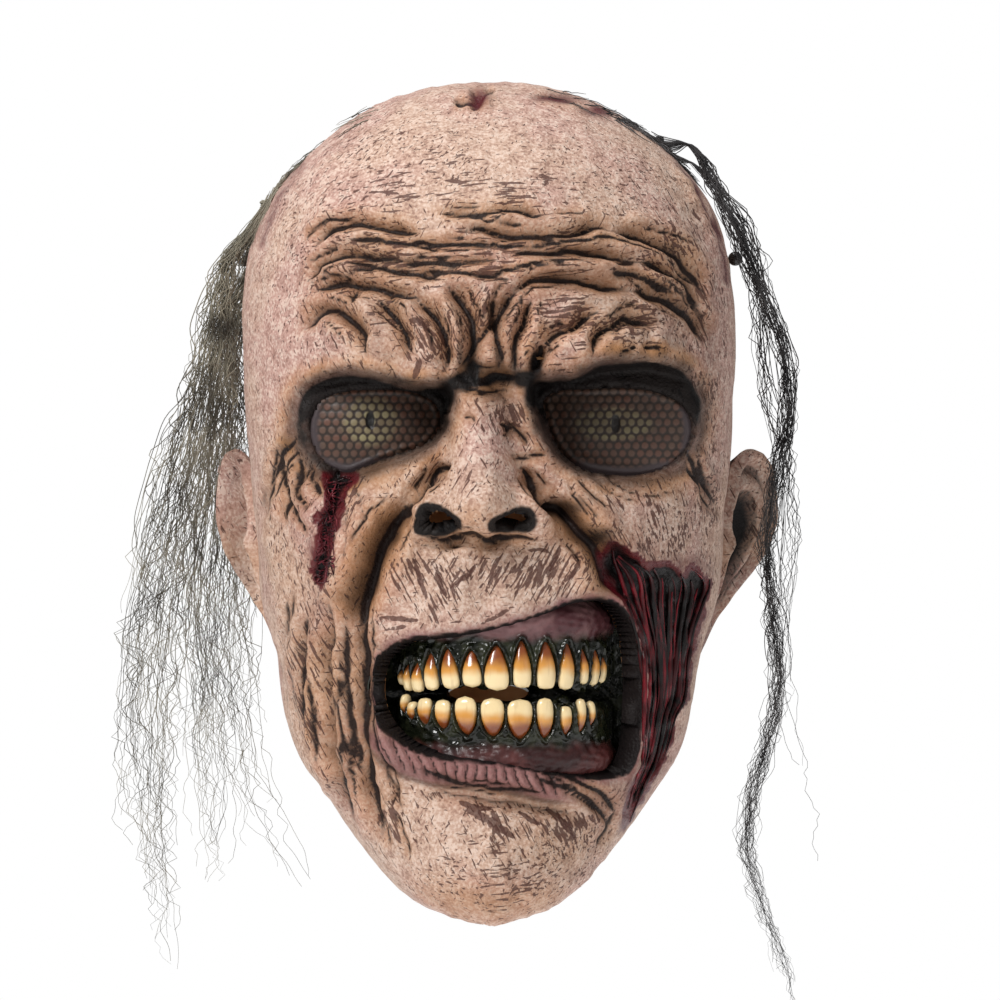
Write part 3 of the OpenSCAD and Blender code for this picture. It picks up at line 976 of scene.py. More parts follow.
BROWS = (
    crease(2.3, 4.2, (-14, 71), (-11, 67.5), (-8, 64), (-6, 60), (-5, 55), (-4.5, 50), (-6, 46), (-10, 41)),
    crease(1.7, 3.0, (-24, 66), (-20, 62), (-16.5, 58), (-14.5, 54), (-14, 50), (-13, 45), (-14, 41)),
    crease(1.7, 2.8, (-36, 66), (-33, 62), (-29, 58), (-27, 54), (-26, 50), (-24, 47)),
    crease(1.4, 2.0, (-44, 68), (-43, 65), (-42, 62)),
    crease(1.9, 3.0, (-60, 55), (-55, 61), (-51, 62), (-47, 60), (-43, 57), (-41, 53), (-39.5, 46)),
    ridge(3.6, 2.6, (-46, 66), (-38, 60), (-36, 52), (-33, 46)),
    ridge(3.0, 2.6, (-30, 66), (-22, 58), (-19, 50), (-19, 43)),
    ridge(2.6, 2.4, (-18, 68), (-11, 60), (-9, 54), (-9, 47)),
    ridge(8.0, 2.2, (-53, 52), (-48, 51)),
    ridge(3.0, 1.4, (-3, 66), (0, 56)),
    crease(1.5, 2.4, (1.5, 66), (1.5, 61), (1, 57), (-1, 55), (-4, 50)),
    crease(1.9, 3.2, (10, 69), (7, 65.5), (4, 60), (2.5, 56), (2.5, 53), (4, 48), (3, 42)),
    crease(1.5, 2.4, (14, 66), (12.5, 61), (11, 56), (9, 52), (8.5, 47), (8.5, 41)),
    crease(1.9, 3.4, (15.5, 51), (17, 49), (16, 45), (14, 40)),
    crease(1.7, 2.8, (17, 49.5), (21, 53), (26, 55.5), (30, 58.5), (36, 60.5)),
    crease(1.6, 2.6, (33, 46), (34, 50), (36, 54), (40, 56.5), (44, 59), (48, 58), (55, 57)),
    ridge(3.0, 2.6, (8, 64), (6, 52), (5.5, 44)),
    ridge(2.6, 2.2, (17, 64), (13, 52), (12, 44)),
    ridge(4.6, 2.6, (22, 46), (30, 49), (31, 53)),
    ridge(3.4, 2.0, (20, 62), (30, 64), (44, 63), (56, 60)),
    ridge(7.0, 2.4, (52, 51), (58, 50)),
    crease(0.9, 1.2, (43, 47), (46, 49.5), (48, 51)),
    crease(0.9, 1.2, (50, 50), (53, 49.3), (55, 49)),
    crease(2.8, 2.6, (-11, 39), (-8, 39.8), (-4, 38.8), (1, 39.5), (6, 39), (10, 39.3), tone=1.5),
    crease(1.2, 1.2, (-10, 35.5), (-4, 36.3), (3, 35)),
)
EYES = (
    crease(1.2, 1.4, (-60, 22), (-65, 18), (-68, 12), (-70, 5), (-72, 0), (-74, -7)),
    crease(1.1, 1.3, (-60, 18), (-64, 14), (-66, 8), (-65, 0), (-66, -9)),
    crease(1.1, 1.2, (-61, 16), (-60.5, 8), (-61, 2), (-58, -4)),
    crease(1.0, 1.2, (-58, 12), (-56, 5), (-54, 0)),
    crease(0.9, 1.0, (-65, 2), (-63, -3), (-60, -8), (-59, -12)),
    ridge(2.4, 1.6, (-63, 8), (-60, -2), (-58, -9)),
    ridge(2.0, 1.2, (-57.5, 10), (-56, 2)),
    crease(2.0, 2.0, (-72, 5), (-75.5, -6), (-76, -16), (-73.5, -30)),
    crease(1.2, 1.2, (62, 17), (66, 13), (70, 6), (73, 1), (75, -3), (77, -9)),
    crease(1.1, 1.2, (64, 12), (68, 7), (70, 1), (73, -5)),
    crease(0.9, 0.9, (28, 7), (33, 2), (38, -4), tone=0.7),
    crease(0.8, 0.8, (25, 6), (31, -1), (37, -8), tone=0.6),
    crease(0.8, 0.8, (33, 8), (40, 2.5), (50, -1), tone=0.6),
    crease(0.8, 0.7, (36, 9.5), (44, 4), (54, 1.5), (62, 4), tone=0.6),
    crease(0.9, 0.8, (-44, 5), (-40, -2), (-38, -9), tone=0.5),
    crease(0.9, 0.9, (-46, 0), (-46.5, -7), (-45, -14), (-46, -22), tone=0.5),
)
NOSE = (
    crease(1.8, 3.0, (-12, 12), (-17, 9), (-20, 6), (-24, 2), (-27, -2)),
    crease(3.4, 6.0, (-25, 0), (-28, -4), (-32, -9), (-36, -16), (-39, -24), (-42, -33),
        (-42.5, -42), tone=1.5),
    crease(1.8, 3.0, (9, 12), (12, 9), (15, 5), (20, 0), (24, -4), (28, -8)),
    crease(3.2, 5.5, (19, 1), (24, -4), (28, -8), (33, -13), (37, -18), (40, -25), (43, -33), tone=1.4),
    ridge(5.0, 2.6, (-33, 3), (-37, -6), (-42, -15), (-46.5, -28), (-47, -42)),
    ridge(5.0, 2.4, (26, 2), (33, -5), (40, -11)),
    crease(1.5, 1.4, (-22, -10), (-18, -13), (-9, -12.5), (-5, -12), (0, -13.5), (8, -12.5), (17, -13)),
    ridge(3.0, 0.9, (-7, -14), (-9, -28), (-10, -38)),
    crease(2.6, 0.8, (-2, -14), (-1, -28), (0, -38), tone=0.0),
    crease(0.9, 0.8, (-9, 26), (-6, 27), (-4, 25), tone=0.7),
    crease(0.9, 1.0, (4, 26), (7, 23), (5, 20), tone=0.8),
    crease(1.0, 1.0, (6, 26), (9, 23), (12, 20), (13, 17), tone=0.8),
    crease(1.0, 1.0, (7, 15), (11, 13.5), (16, 14), (20, 13.5), tone=0.8),
)
CHEEKS = (
    crease(2.4, 3.4, (-42, -33), (-41, -45), (-41.5, -58), (-41, -72), (-40, -86), (-38, -98), (-34, -110)),
    crease(1.5, 1.9, (-45, -38), (-45.5, -52), (-45, -66), (-43.5, -80), (-41.5, -92), tone=0.8),
    crease(2.1, 3.0, (-49, -30), (-50.5, -42), (-51, -56), (-50.5, -70), (-49, -85), (-46, -99),
        (-42, -110)),
    crease(1.8, 2.4, (-58, -36), (-60, -50), (-60.5, -64), (-59, -78), (-56, -90), (-51.5, -101)),
    crease(1.4, 1.6, (-63, -28), (-65, -42), (-66, -56), (-65, -70), (-62, -82), tone=0.8),
    ridge(2.6, 1.8, (-47.5, -30), (-48, -50), (-47.5, -72), (-45, -92)),
    ridge(3.2, 1.8, (-55, -36), (-55.5, -58), (-55, -80), (-49.5, -102)),
    ridge(2.4, 1.2, (-62.5, -34), (-63.5, -56), (-61.5, -76)),
    crease(1.2, 1.3, (-38.5, -50), (-39.5, -60), (-38.5, -72), (-34.5, -84), (-27, -92), tone=0.7),
    crease(1.0, 1.0, (-37, -45), (-34, -49), (-31, -48), tone=0.5),
    crease(1.0, 1.0, (-36, -74), (-35, -82), (-31, -92), (-27, -102), tone=0.6),
    crease(0.9, 0.9, (-32, -84), (-30, -92), (-31, -100), tone=0.6),
    ridge(3.0, 3.2, (30, -30.5), (37, -31), (43, -36), (46.5, -45), (48, -58), (47.6, -72), (45, -86),
        (42, -97)),
    crease(1.3, 1.4, (14, -89), (22, -92), (30, -95), (37, -101), (40, -108)),
    crease(1.2, 1.2, (22, -89), (30, -91.5), (37, -96), (42, -102)),
    ridge(2.4, 1.4, (18, -90), (28, -93), (36, -98)),
    crease(1.2, 1.2, (-24, -86.5), (-14, -90.5), (-2, -92.8), (10, -94), (20, -95)),
    crease(1.6, 1.5, (-22, -92), (-8, -96.5), (6, -98), (20, -100), (32, -104), tone=0.5),
    crease(1.0, 1.0, (44, -106), (41, -112), (38, -118), tone=0.8),
    crease(1.0, 1.0, (42, -100), (39, -107), (35, -113), tone=0.7),
    crease(0.8, 0.8, (-30, -100), (-28, -108), (-25, -117), tone=0.6),
    crease(0.8, 0.8, (-37, -98), (-34, -107), (-31, -113), tone=0.6),
    ridge(11.0, 1.6, (-4, -122), (8, -122)),
)
SCALP = (
    crease(1.2, 1.6, (-6, 133.5), (-3.5, 130), (-5, 126)),
    crease(1.2, 1.6, (-3.5, 130.5), (0, 132.5), (3, 133.5)),
    crease(1.0, 1.4, (-3.5, 130), (-8, 129), (-11, 130)),
    crease(1.0, 0.8, (14, 131), (24, 130), (36, 126)),
    ridge(6.0, 0.7, (-44, 112), (-30, 118), (-14, 114), (0, 106)),
    ridge(5.0, 0.6, (18, 120), (34, 113), (50, 102)),
    ridge(1.5, 1.6, (57, 114), (62, 107), (67, 98), (71, 89), (74, 80), (76, 72)),
    crease(1.2, 1.6, (60, 113), (66, 104), (71, 94), (75, 83)),
)
LEFT_SOCKET = (
    (-63, 26), (-62, 32), (-58.5, 37), (-54, 39.5), (-48, 41), (-42, 41.3), (-36, 40), (-30, 38.3),
    (-24, 37), (-18, 37.5), (-13, 37), (-12, 31), (-14, 23), (-20, 16.5), (-29, 13), (-38, 9.5),
    (-46, 7), (-54, 8), (-60, 14), (-63, 20),
)
RIGHT_SOCKET = (
    (14, 38), (20, 40), (27, 40.3), (32, 42.5), (37, 45), (46, 45.5), (55, 45.5), (62, 43), (67, 38),
    (69.5, 31), (69, 24), (66, 16), (61, 10), (52, 7), (42, 6.5), (32, 8.5), (24, 13), (18, 20),
    (15, 29),
)
LEFT_LENS = (
    (-57, 28), (-58, 22), (-56, 15.5), (-52, 11), (-46, 9), (-41, 10.5), (-35, 13), (-28, 15.5),
    (-21, 18), (-16.5, 22), (-15.5, 27), (-18, 32.5), (-25, 35.5), (-35, 36.2), (-46, 35.5), (-54, 33),
)
RIGHT_LENS = (
    (18, 33), (19, 27), (21, 20), (25, 14), (31, 10), (39, 8.3), (48, 8), (56, 9.8), (62, 14),
    (65.5, 20), (65.5, 26), (62, 31.5), (54, 35.3), (44, 36.8), (32, 36.5), (23, 36),
)
LEFT_NOSTRIL = (
    (-22.5, -6.5), (-20.5, -3), (-16, -3), (-11.5, -6), (-9.5, -7.8), (-12, -10), (-16, -10.8),
    (-20.5, -9.8),
)
RIGHT_NOSTRIL = (
    (1, -8), (5, -5.6), (9, -3.8), (12.3, -3.6), (14, -6.3), (12.8, -9), (8, -9.2), (3.5, -9.6),
)
MOUTH = (
    (-36, -55.5), (-34, -51), (-30, -47.5), (-25, -45.6), (-18, -44.8), (-10, -44), (-3, -43),
    (4, -41.5), (10, -40), (16, -38), (21, -36), (26, -34), (31, -33), (36, -32.6), (40, -34),
    (43, -38), (45, -43), (46.5, -50), (47, -58), (47, -66), (46.3, -74), (45, -82), (42.5, -88),
    (36, -89.5), (28, -89), (20, -88), (12, -86.3), (4, -84.8), (-4, -84), (-12, -83.5), (-19, -82.3),
    (-25, -80), (-30, -76.5), (-34, -71.5), (-37, -66), (-37.5, -60),
)
CHEEK_WOUND = (
    (40, -14.5), (44, -15.5), (48, -18), (51, -21), (55, -20), (60, -21), (63, -24), (66, -22),
    (69, -23), (72, -27), (70, -34), (67.5, -42), (66.5, -48), (65.5, -54), (64.8, -60), (63.5, -66),
    (61, -70), (59.5, -76), (57, -84), (53, -91), (50, -97), (46.5, -104), (44.5, -107.5), (44.5, -100),
    (46.5, -92), (49, -84), (50, -72), (50, -58), (48.5, -47), (45.5, -39), (42.5, -32), (40.5, -25),
    (39.5, -19),
)
GASH = (
    (-53, 8.5), (-53, -2), (-55, -4), (-55.5, -6), (-55, -12), (-55.5, -16), (-56.8, -20), (-56.5, -25),
    (-53, -28), (-50.3, -24), (-49.5, -18), (-50, -13), (-49, -8), (-48, -3), (-46, 2), (-43.5, 8),
)


class HeadForm:
    """The form of the head: level sections, joined smoothly, and a grid of points over them."""

    WIDTH, CROWN, CHIN, FRONT, BACK, WALL = 169.0, 144.0, 139.0, 97.0, 100.0, 3.0
    FRONT_FULLNESS, BACK_FULLNESS = 2.3, 2.1
    ROWS = np.array([
        [-1.00, 0.05, -0.79, -0.75, -0.70], [-0.985, 0.17, -0.83, -0.66, -0.35],
        [-0.955, 0.30, -0.87, -0.50, 0.20], [-0.905, 0.405, -0.90, -0.38, 0.36],
        [-0.82, 0.527, -0.925, -0.28, 0.47], [-0.735, 0.635, -0.935, -0.20, 0.55],
        [-0.64, 0.752, -0.94, -0.12, 0.63], [-0.54, 0.812, -0.945, -0.06, 0.71],
        [-0.39, 0.853, -0.95, -0.02, 0.80], [-0.25, 0.91, -0.95, 0.01, 0.88],
        [-0.08, 0.953, -0.95, 0.05, 0.965], [0.09, 0.976, -0.965, 0.05, 0.99],
        [0.28, 1.00, -1.00, 0.05, 1.00], [0.46, 1.00, -0.985, 0.05, 0.985],
        [0.59, 0.97, -0.94, 0.05, 0.94], [0.70, 0.905, -0.865, 0.05, 0.87],
        [0.79, 0.80, -0.755, 0.055, 0.775], [0.87, 0.65, -0.60, 0.06, 0.65],
        [0.93, 0.50, -0.445, 0.065, 0.52], [0.97, 0.34, -0.28, 0.07, 0.38],
        [0.99, 0.19, -0.13, 0.08, 0.26], [1.00, 0.0, 0.08, 0.08, 0.08],
    ])
    FACE_STEP, SIDE_STEP, BACK_STEP = 1.0, 1.7, 6.0
    ROW_STEP, CROWN_STEP = 1.1, 2.4

    def __init__(self) -> None:
        """Lay out the grid of rows and columns."""
        v = self.even_rows()
        a = self.even_angles()
        self.angle = np.tile(a, (len(v), 1))
        self.front = np.cos(self.angle) > 0
        self.base = self.points(np.tile(v[:, None], (1, len(a))), self.angle)

    def sections(self, v: Array) -> Array:
        """Return height, half-width, front, widest place and back at row values, in millimetres.

        Args:
            v: row values.

        Returns:
            The five measures, in the last axis.
        """
        n = len(self.ROWS)
        i = np.clip(np.floor(v).astype(int), 0, n - 2)
        t = (v - i)[..., None]
        a, b = self.ROWS[np.maximum(i - 1, 0)], self.ROWS[i]
        c, d = self.ROWS[i + 1], self.ROWS[np.minimum(i + 2, n - 1)]
        r = between(a, b, c, d, t)
        out = np.empty_like(r)
        out[..., 0] = r[..., 0] * np.where(r[..., 0] > 0, self.CROWN, self.CHIN)
        out[..., 1] = np.maximum(r[..., 1], 0) * self.WIDTH / 2
        for k in (2, 3, 4):
            out[..., k] = r[..., k] * np.where(r[..., k] > 0, self.BACK, self.FRONT)
        return out

    def points(self, v: Array, a: Array) -> Array:
        """Return the plain head's points at row values and angles around from the front.

        Args:
            v: row values.
            a: angles round the head, in radians.

        Returns:
            The points.
        """
        r = self.sections(v)
        front = np.cos(a) > 0
        p = np.where(front, 2 / self.FRONT_FULLNESS, 2 / self.BACK_FULLNESS)
        reach = r[..., 3] - np.where(front, r[..., 2], r[..., 4])
        x = r[..., 1] * np.sign(np.sin(a)) * np.abs(np.sin(a)) ** p
        y = r[..., 3] - reach * np.abs(np.cos(a)) ** p
        return np.stack([x, y, r[..., 0]], -1)

    def even_rows(self) -> Array:
        """Return row values whose rows are evenly apart over the face and wider over the crown.

        Returns:
            The row values.
        """
        v = np.linspace(0, len(self.ROWS) - 1, 4000)
        r = self.sections(v)
        step = np.hypot(np.diff(r[:, 0]), np.maximum(np.abs(np.diff(r[:, 2])), np.abs(np.diff(r[:, 1]))))
        weight = step / np.where(r[1:, 0] < 100, self.ROW_STEP, self.CROWN_STEP)
        total = np.concatenate([[0], np.cumsum(weight)])
        return np.interp(np.linspace(0, total[-1], int(total[-1]) + 1), total, v)

    def even_angles(self) -> Array:
        """Return angles from the back round to the back, closer together over the face.

        Returns:
            The angles, in radians.
        """
        a = np.linspace(-np.pi, np.pi, 8001)
        p = self.points(np.full(a.shape, 11.0), a)
        step = np.hypot(np.diff(p[:, 0]), np.diff(p[:, 1]))
        face = np.where(np.abs(p[1:, 0]) < 54, self.FACE_STEP, self.SIDE_STEP)
        weight = step / np.where(np.cos(a[1:]) > -0.05, face, self.BACK_STEP)
        total = np.concatenate([[0], np.cumsum(weight)])
        return np.interp(np.linspace(0, total[-1], int(total[-1]) + 1), total, a)

    @staticmethod
    def normals(p: Array) -> Array:
        """Return the outward directions at a grid of points.

        Args:
            p: a table of points.

        Returns:
            The unit normals.
        """
        across, up = np.gradient(p, axis=1), np.gradient(p, axis=0)
        across[:, 0] = across[:, -1] = p[:, 1] - p[:, -2]
        n = np.cross(across, up)
        return n / np.maximum(np.linalg.norm(n, axis=-1, keepdims=True), 1e-9)

    @staticmethod
    def seen(p: Array) -> tuple[Array, Array]:
        """Return where points fall on the front plane when the camera looks at them."""
        share = (CAMERA_BACK + FRONT_PLANE) / (CAMERA_BACK + p[..., 1])
        return CAMERA_X + (p[..., 0] - CAMERA_X) * share, p[..., 2] * share


def soft_max(heights: list[Array], blend: float = 2.2) -> Array:
    """Return the greatest of several heights, blended where they meet."""
    return blend * np.log(sum(np.exp(h / blend) for h in heights))


def dome(x: Array, z: Array, cx: float, cz: float, rx: float, rz: float, h: float) -> Array:
    """Return a rounded lump of height h that falls steeply at its edge."""
    q = ((x - cx) / rx) ** 2 + ((z - cz) / rz) ** 2
    return h * (np.sqrt(np.clip(1 - q, 0, 1)) * 0.75 + 0.25 * np.exp(-q)) - 6 * np.clip(q - 1, 0, 1.5)


class Skin:
    """The painted casting: the head's skin with its sculpted face, openings and inner wall."""

    LENS_DOME = 55.0
    LENS_PLACES = ((-38.0, 22.0, -75.6), (42.0, 22.0, -73.5))
    LIP_ROLL, LID_ROLL, NOSTRIL_ROLL, SNAP = 4.5, 1.6, 2.2, 0.62
    NECK_FRONT, NECK_LIFT, NECK_SLOPE = -71.8, 1.7, math.atan2(56.0, 171.8)

    def __init__(self, form: HeadForm) -> None:
        """Sculpt the face on the head's form.

        Args:
            form: the head's smooth form.
        """
        self.form = form
        shape = form.angle.shape
        self.marks = {name: np.zeros(shape) for name in MARKS}
        self.marks["dash"] = np.full(shape, -1.0)
        self.fade = np.where(form.front, np.clip(np.cos(form.angle), 0, 1) ** 0.7, 0)
        self.p = form.base.copy()
        self.shape_face()
        self.x, self.z = form.seen(self.p)
        self.seat_lenses()
        self.core = self.p.copy()
        self.work_clay()
        self.seat_beads()
        self.open_wounds()
        self.roll_edges()
        self.paint()
        self.fade_sides()

    # ---- Large forms --------------------------------------------------------------------
    def shape_face(self) -> None:
        """Push the nose, brows, cheekbones, lips and chin out of the plain head."""
        x, z = self.form.seen(self.p)
        out = (
            8.0 * (hill(x, z, -38, 50, 30, 12) + hill(x, z, 42, 50, 30, 12))
            + 3.0 * hill(x, z, -2, 52, 14, 14)
            + 7.0 * (hill(x, z, -50, -14, 22, 20) + hill(x, z, 52, -10, 22, 19))
            + 9.0 * hill(x, z, 4.5, -62.5, 46, 34)
            + 3.5 * hill(x, z, -3, -27, 26, 13)
            + 9.0 * hill(x, z, 2, -118, 26, 17)
            - 3.0 * hill(x, z, 4, -98, 30, 6)
            + 2.0 * (hill(x, z, -56, -62, 12, 36))
            + 1.5 * ripple(x, z, 60, 3) * smoothstep(60, 90, z)
        )
        root = dome(x, z, -4, 31, 8, 10, 9)
        bridge = dome(x, z, -3.5, 20, 9.5, 22, 14)
        middle = dome(x, z, -3, 8, 12, 18, 19)
        tip = dome(x, z, -2.6, -1.5, 13.5, 12, 25)
        wings = [dome(x, z, -16.5, -4, 10.5, 10.5, 15.5), dome(x, z, 11.5, -4.5, 10.5, 10.5, 15.5)]
        nose = np.maximum(soft_max([root, bridge, middle, tip, *wings, np.zeros_like(x)]) - 3.2, 0)
        out = out + nose * (hill(x, z, -3, 5, 60, 80) > 0.1)
        self.p[..., 1] -= out * self.fade

    def lens_surface(self, x: Array, z: Array, side: int) -> Array:
        """Return how far forward a lens's dome is at given places."""
        cx, cz, pole = self.LENS_PLACES[side]
        return pole + self.LENS_DOME - np.sqrt(self.LENS_DOME**2 - (x - cx) ** 2 - (z - cz) ** 2)

    def seat_lenses(self) -> None:
        """Sink each eye socket to its lens, steeply under the brow and gently below, and paint black and
        shade into it.
        """
        for side, (outline, lens) in enumerate(((LEFT_SOCKET, LEFT_LENS), (RIGHT_SOCKET, RIGHT_LENS))):
            cx, cz, _ = self.LENS_PLACES[side]
            near = self.form.front & (np.hypot(self.x - cx, self.z - cz) < 45)
            x, z = self.x[near], self.z[near]
            inside = to_outline(x, z, closed(outline))
            short = np.maximum(-to_outline(x, z, closed(lens)) - 0.8, 0)
            start = np.maximum(inside + 0.8, 0)
            steep = np.where(z > cz + 6, 2.2, 1.0)
            share = smoothstep(0, 1, steep * start / np.maximum(start + short, 0.01))
            floor = self.lens_surface(x, z, side) - 1.2
            self.p[near, 1] += (floor - self.p[near, 1]) * share
            rim = np.exp(-((inside + 2.5) / 2.8) ** 2)
            self.p[near, 1] -= 1.3 * rim * smoothstep(cz - 4, cz + 10, z)
            # Black paint and painted shade fill the socket, darker towards the top under the brow; a ring
            # of painted shade and a tan ring lie round it.
            top = smoothstep(cz + 2, cz + 14, z)
            black_paint_and_shade = smoothstep(-1.0, 2.6, inside) * (0.62 + 0.38 * top)
            self.stain("black_paint_and_shade", near, black_paint_and_shade)
            around = 0.8 * bell(inside / 3.6)
            self.stain("shade", near, around)
            tan_halo = np.exp(-((inside + 3.2) / 3.0) ** 2) * (0.45 + 0.55 * np.abs(ripple(x, z, 18, 5)))
            self.stain("warm", near, tan_halo)

    # ---- Clay work ----------------------------------------------------------------------
    def work_clay(self) -> None:
        """Work every crease and ridge into the surface."""
        lean = 0.5 * ripple(self.x, self.z, 9, 11)
        lift = 0.5 * ripple(self.x, self.z, 9, 12)
        shift = np.zeros_like(self.x)
        main = FOREHEAD + BROWS + EYES + NOSE + CHEEKS
        for stroke in main + SCALP + self.companions(main):
            line = through(stroke.line)
            near = self.window(line, 4.5 * stroke.width + 2)
            gap, along = to_line(self.x[near] + lean[near], self.z[near] + lift[near], line)
            ends = smoothstep(-0.04, 0.22, along) * smoothstep(1.04, 0.78, along)
            width = stroke.width * (0.55 + 0.45 * ends)
            if stroke.height < 0:
                form = -0.75 * bell(gap / width / 0.8) - 0.40 * bell(gap / width / 2.2)
                form += 0.42 * bell((gap - 2.5 * width) / width / 1.2)
                shift[near] += -1.15 * stroke.height * form * ends
                # Painted shade in the crease: a dark line down it, softer shade round it and a broad tan
                # halo of shade beyond.
                tone = stroke.tone * smoothstep(-0.1, 0.2, along) * smoothstep(1.1, 0.8, along)
                shade_paint = tone * bell(gap / (0.30 * width + 0.28))
                self.stain("dark", near, shade_paint)
                shade = 0.66 * tone * bell(gap / width / 1.4)
                self.stain("shade", near, shade)
                tan_halo = 0.75 * tone * bell(gap / width / 2.8)
                self.stain("warm", near, tan_halo)
            else:
                shift[near] += stroke.height * ends * np.exp(-((gap / width) ** 2) * 0.9)
        front = smoothstep(0.0, 0.35, np.cos(self.form.angle))
        grain = 0.22 * ripple(self.x, self.z, 4.2, 21) + 0.25 * ripple(self.x, self.z, 9, 22)
        around = 95 * np.sin(self.form.angle)
        along = self.p[..., 2] + 70 * np.cos(self.form.angle)
        loose = 1.0 * ripple(around, along, 46, 23) + 0.35 * ripple(around, along, 18, 24)
        quiet = 1 - 0.9 * smoothstep(0.1, 0.5, self.marks["black_paint_and_shade"])
        facing = -self.form.normals(self.form.base)[..., 1]
        shift = shift * quiet * smoothstep(0.05, 0.4, facing) + grain * front + loose * (1 - 0.75 * front)
        self.p += self.form.normals(self.p) * shift[..., None]

    def seat_beads(self) -> None:
        """Raise a low boss under each bead, so that it stands on the skin."""
        for node in BEADS:
            low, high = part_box(node)
            apart = np.linalg.norm(self.p - np.array((low + high) / 2) / MM, axis=-1)
            short = max(apart.min() - (high.z - low.z) / 2 / MM + 0.9, 0)
            self.p += self.form.normals(self.p) * (short * bell(apart / 5.0))[..., None]

    @staticmethod
    def companions(strokes: tuple[Stroke, ...]) -> tuple[Stroke, ...]:
        """Return fine short creases that run beside the deep ones.

        Args:
            strokes: the main strokes.

        Returns:
            The finer strokes.
        """
        rng = np.random.default_rng(17)
        fine = []
        for stroke in strokes:
            if stroke.height >= 0 or stroke.width < 1.1 or stroke.tone < 0.7 or len(stroke.line) < 4:
                continue
            line = through(stroke.line)
            across = np.gradient(line, axis=0)[:, ::-1] * (-1, 1)
            across = across / np.maximum(np.hypot(*across.T), 1e-6)[:, None]
            for side in (-1, 1):
                first = int(rng.uniform(0, 0.45) * len(line))
                part = slice(first, first + max(4, int(rng.uniform(0.3, 0.55) * len(line))))
                away = side * stroke.width * rng.uniform(1.3, 2.3)
                away = away * np.linspace(1, rng.uniform(0.4, 1.5), len(line[part]))
                beside = line[part] + across[part] * away[:, None]
                fine.append(Stroke(0.75, -0.8, tuple(map(tuple, beside)), 0.75))
        return tuple(fine)

    def window(self, line: Array, reach: float) -> Array:
        """Return which points of the face lie within reach of the box round a line.

        Args:
            line: the line's points.
            reach: how far beyond it to look, in millimetres.

        Returns:
            True for each point in the window.
        """
        low, high = line.min(0) - reach, line.max(0) + reach
        near = self.form.front & (self.x > low[0]) & (self.x < high[0])
        return near & (self.z > low[1]) & (self.z < high[1])

    def stain(self, name: str, near: Array, value: Array) -> None:
        """Raise one of the marks to a value wherever it is lower."""
        self.marks[name][near] = np.maximum(self.marks[name][near], value)

    def region(self, outline: Points, reach: float) -> tuple[Array, Array]:
        """Return which points are near an outline, and how far inside it they are.

        Args:
            outline: the outline's points.
            reach: how far beyond it to look, in millimetres.

        Returns:
            The points near it, and their distances.
        """
        line = closed(outline)
        near = self.window(line, reach)
        return near, to_outline(self.x[near], self.z[near], line)

    def open_wounds(self) -> None:
        """Sink the torn cheek and the gash below the eye, with raised ragged edges."""
        for outline, depth, rim, seep in ((CHEEK_WOUND, 6.0, 1.1, 6.5), (GASH, 3.8, 0.9, 2.6)):
            near, inside = self.region(outline, 14)
            inside = inside + 0.7 * ripple(self.x[near], self.z[near], 5, 31)
            sink = depth * smoothstep(-0.3, 3.2, inside) - rim * np.exp(-((inside + 1.2) / 1.4) ** 2)
            self.p[near, 1] += sink
            stain = smoothstep(-seep, -0.5, inside) * 0.55 + 0.45 * smoothstep(-0.8, 0.4, inside)
            uneven = 0.6 + 0.5 * ripple(self.x[near], self.z[near], 12, 32)
            blood = np.where(inside > -0.5, 1.0, stain * uneven)
            self.stain("blood", near, blood)
            # Black paint and painted shade deep in the wound.
            black_paint_and_shade = 0.9 * smoothstep(0.6, 2.6, inside)
            self.stain("black_paint_and_shade", near, black_paint_and_shade)

    def roll_edges(self) -> None:
        """Round the lips, lids and nostrils inwards where they end."""
        self.openings = []
        for outline, roll in (
            (MOUTH, self.LIP_ROLL), (LEFT_LENS, self.LID_ROLL), (RIGHT_LENS, self.LID_ROLL),
            (LEFT_NOSTRIL, self.NOSTRIL_ROLL), (RIGHT_NOSTRIL, self.NOSTRIL_ROLL),
        ):
            near, inside = self.region(outline, 12)
            rest = np.clip(roll + inside, 0, roll)
            self.p[near, 1] += (roll - np.sqrt(roll**2 - rest**2)) * 0.8
            self.openings.append((closed(outline), roll))
        near, inside = self.region(MOUTH, 12)
        x, z = self.x[near], self.z[near]
        band = smoothstep(-5.0, -0.5, inside) * (0.85 + 0.35 * ripple(x, z, 9, 41))
        along_lip = smoothstep(-70, -78, z) * smoothstep(34, 20, x)
        lower = along_lip * smoothstep(-10.5, -8, inside)
        self.stain("mauve", near, np.maximum(band, lower))
        self.p[near, 1] -= 4.8 * along_lip * bell((inside + 4.6) / 3.4)
        bent = x + 0.35 * (z + 85) + 0.9 * ripple(x, z, 13, 42)
        ribs = np.cos(bent * 2 * np.pi / 3.3) * smoothstep(-10, -6, inside)
        ribs = ribs * smoothstep(0.2, -2.0, inside) * along_lip
        self.p[near, 1] -= 1.15 * ribs
        # Painted shade in the troughs between the lip's ribs.
        self.stain("dark", near, 0.6 * np.clip(-1.5 * ribs - 0.3, 0, 1))
        under = along_lip * bell((inside + 9.6) / 1.3)
        self.stain("shade", near, 0.7 * under)
        bare = smoothstep(-12, -9, inside) * np.maximum(along_lip, smoothstep(-2.5, -1, inside))
        for way in Drag:
            self.marks[way.name.lower()][near] -= bare * 2
        # Black paint and painted shade just inside the lips' edge.
        edge = 0.78 * smoothstep(-1.9, -0.7, inside)
        self.stain("black_paint_and_shade", near, edge)
        for outline in (LEFT_NOSTRIL, RIGHT_NOSTRIL):
            near, inside = self.region(outline, 8)
            # Black paint and painted shade round the nostrils' rims.
            edge = 0.95 * smoothstep(-2.4, -0.4, inside)
            self.stain("black_paint_and_shade", near, edge)
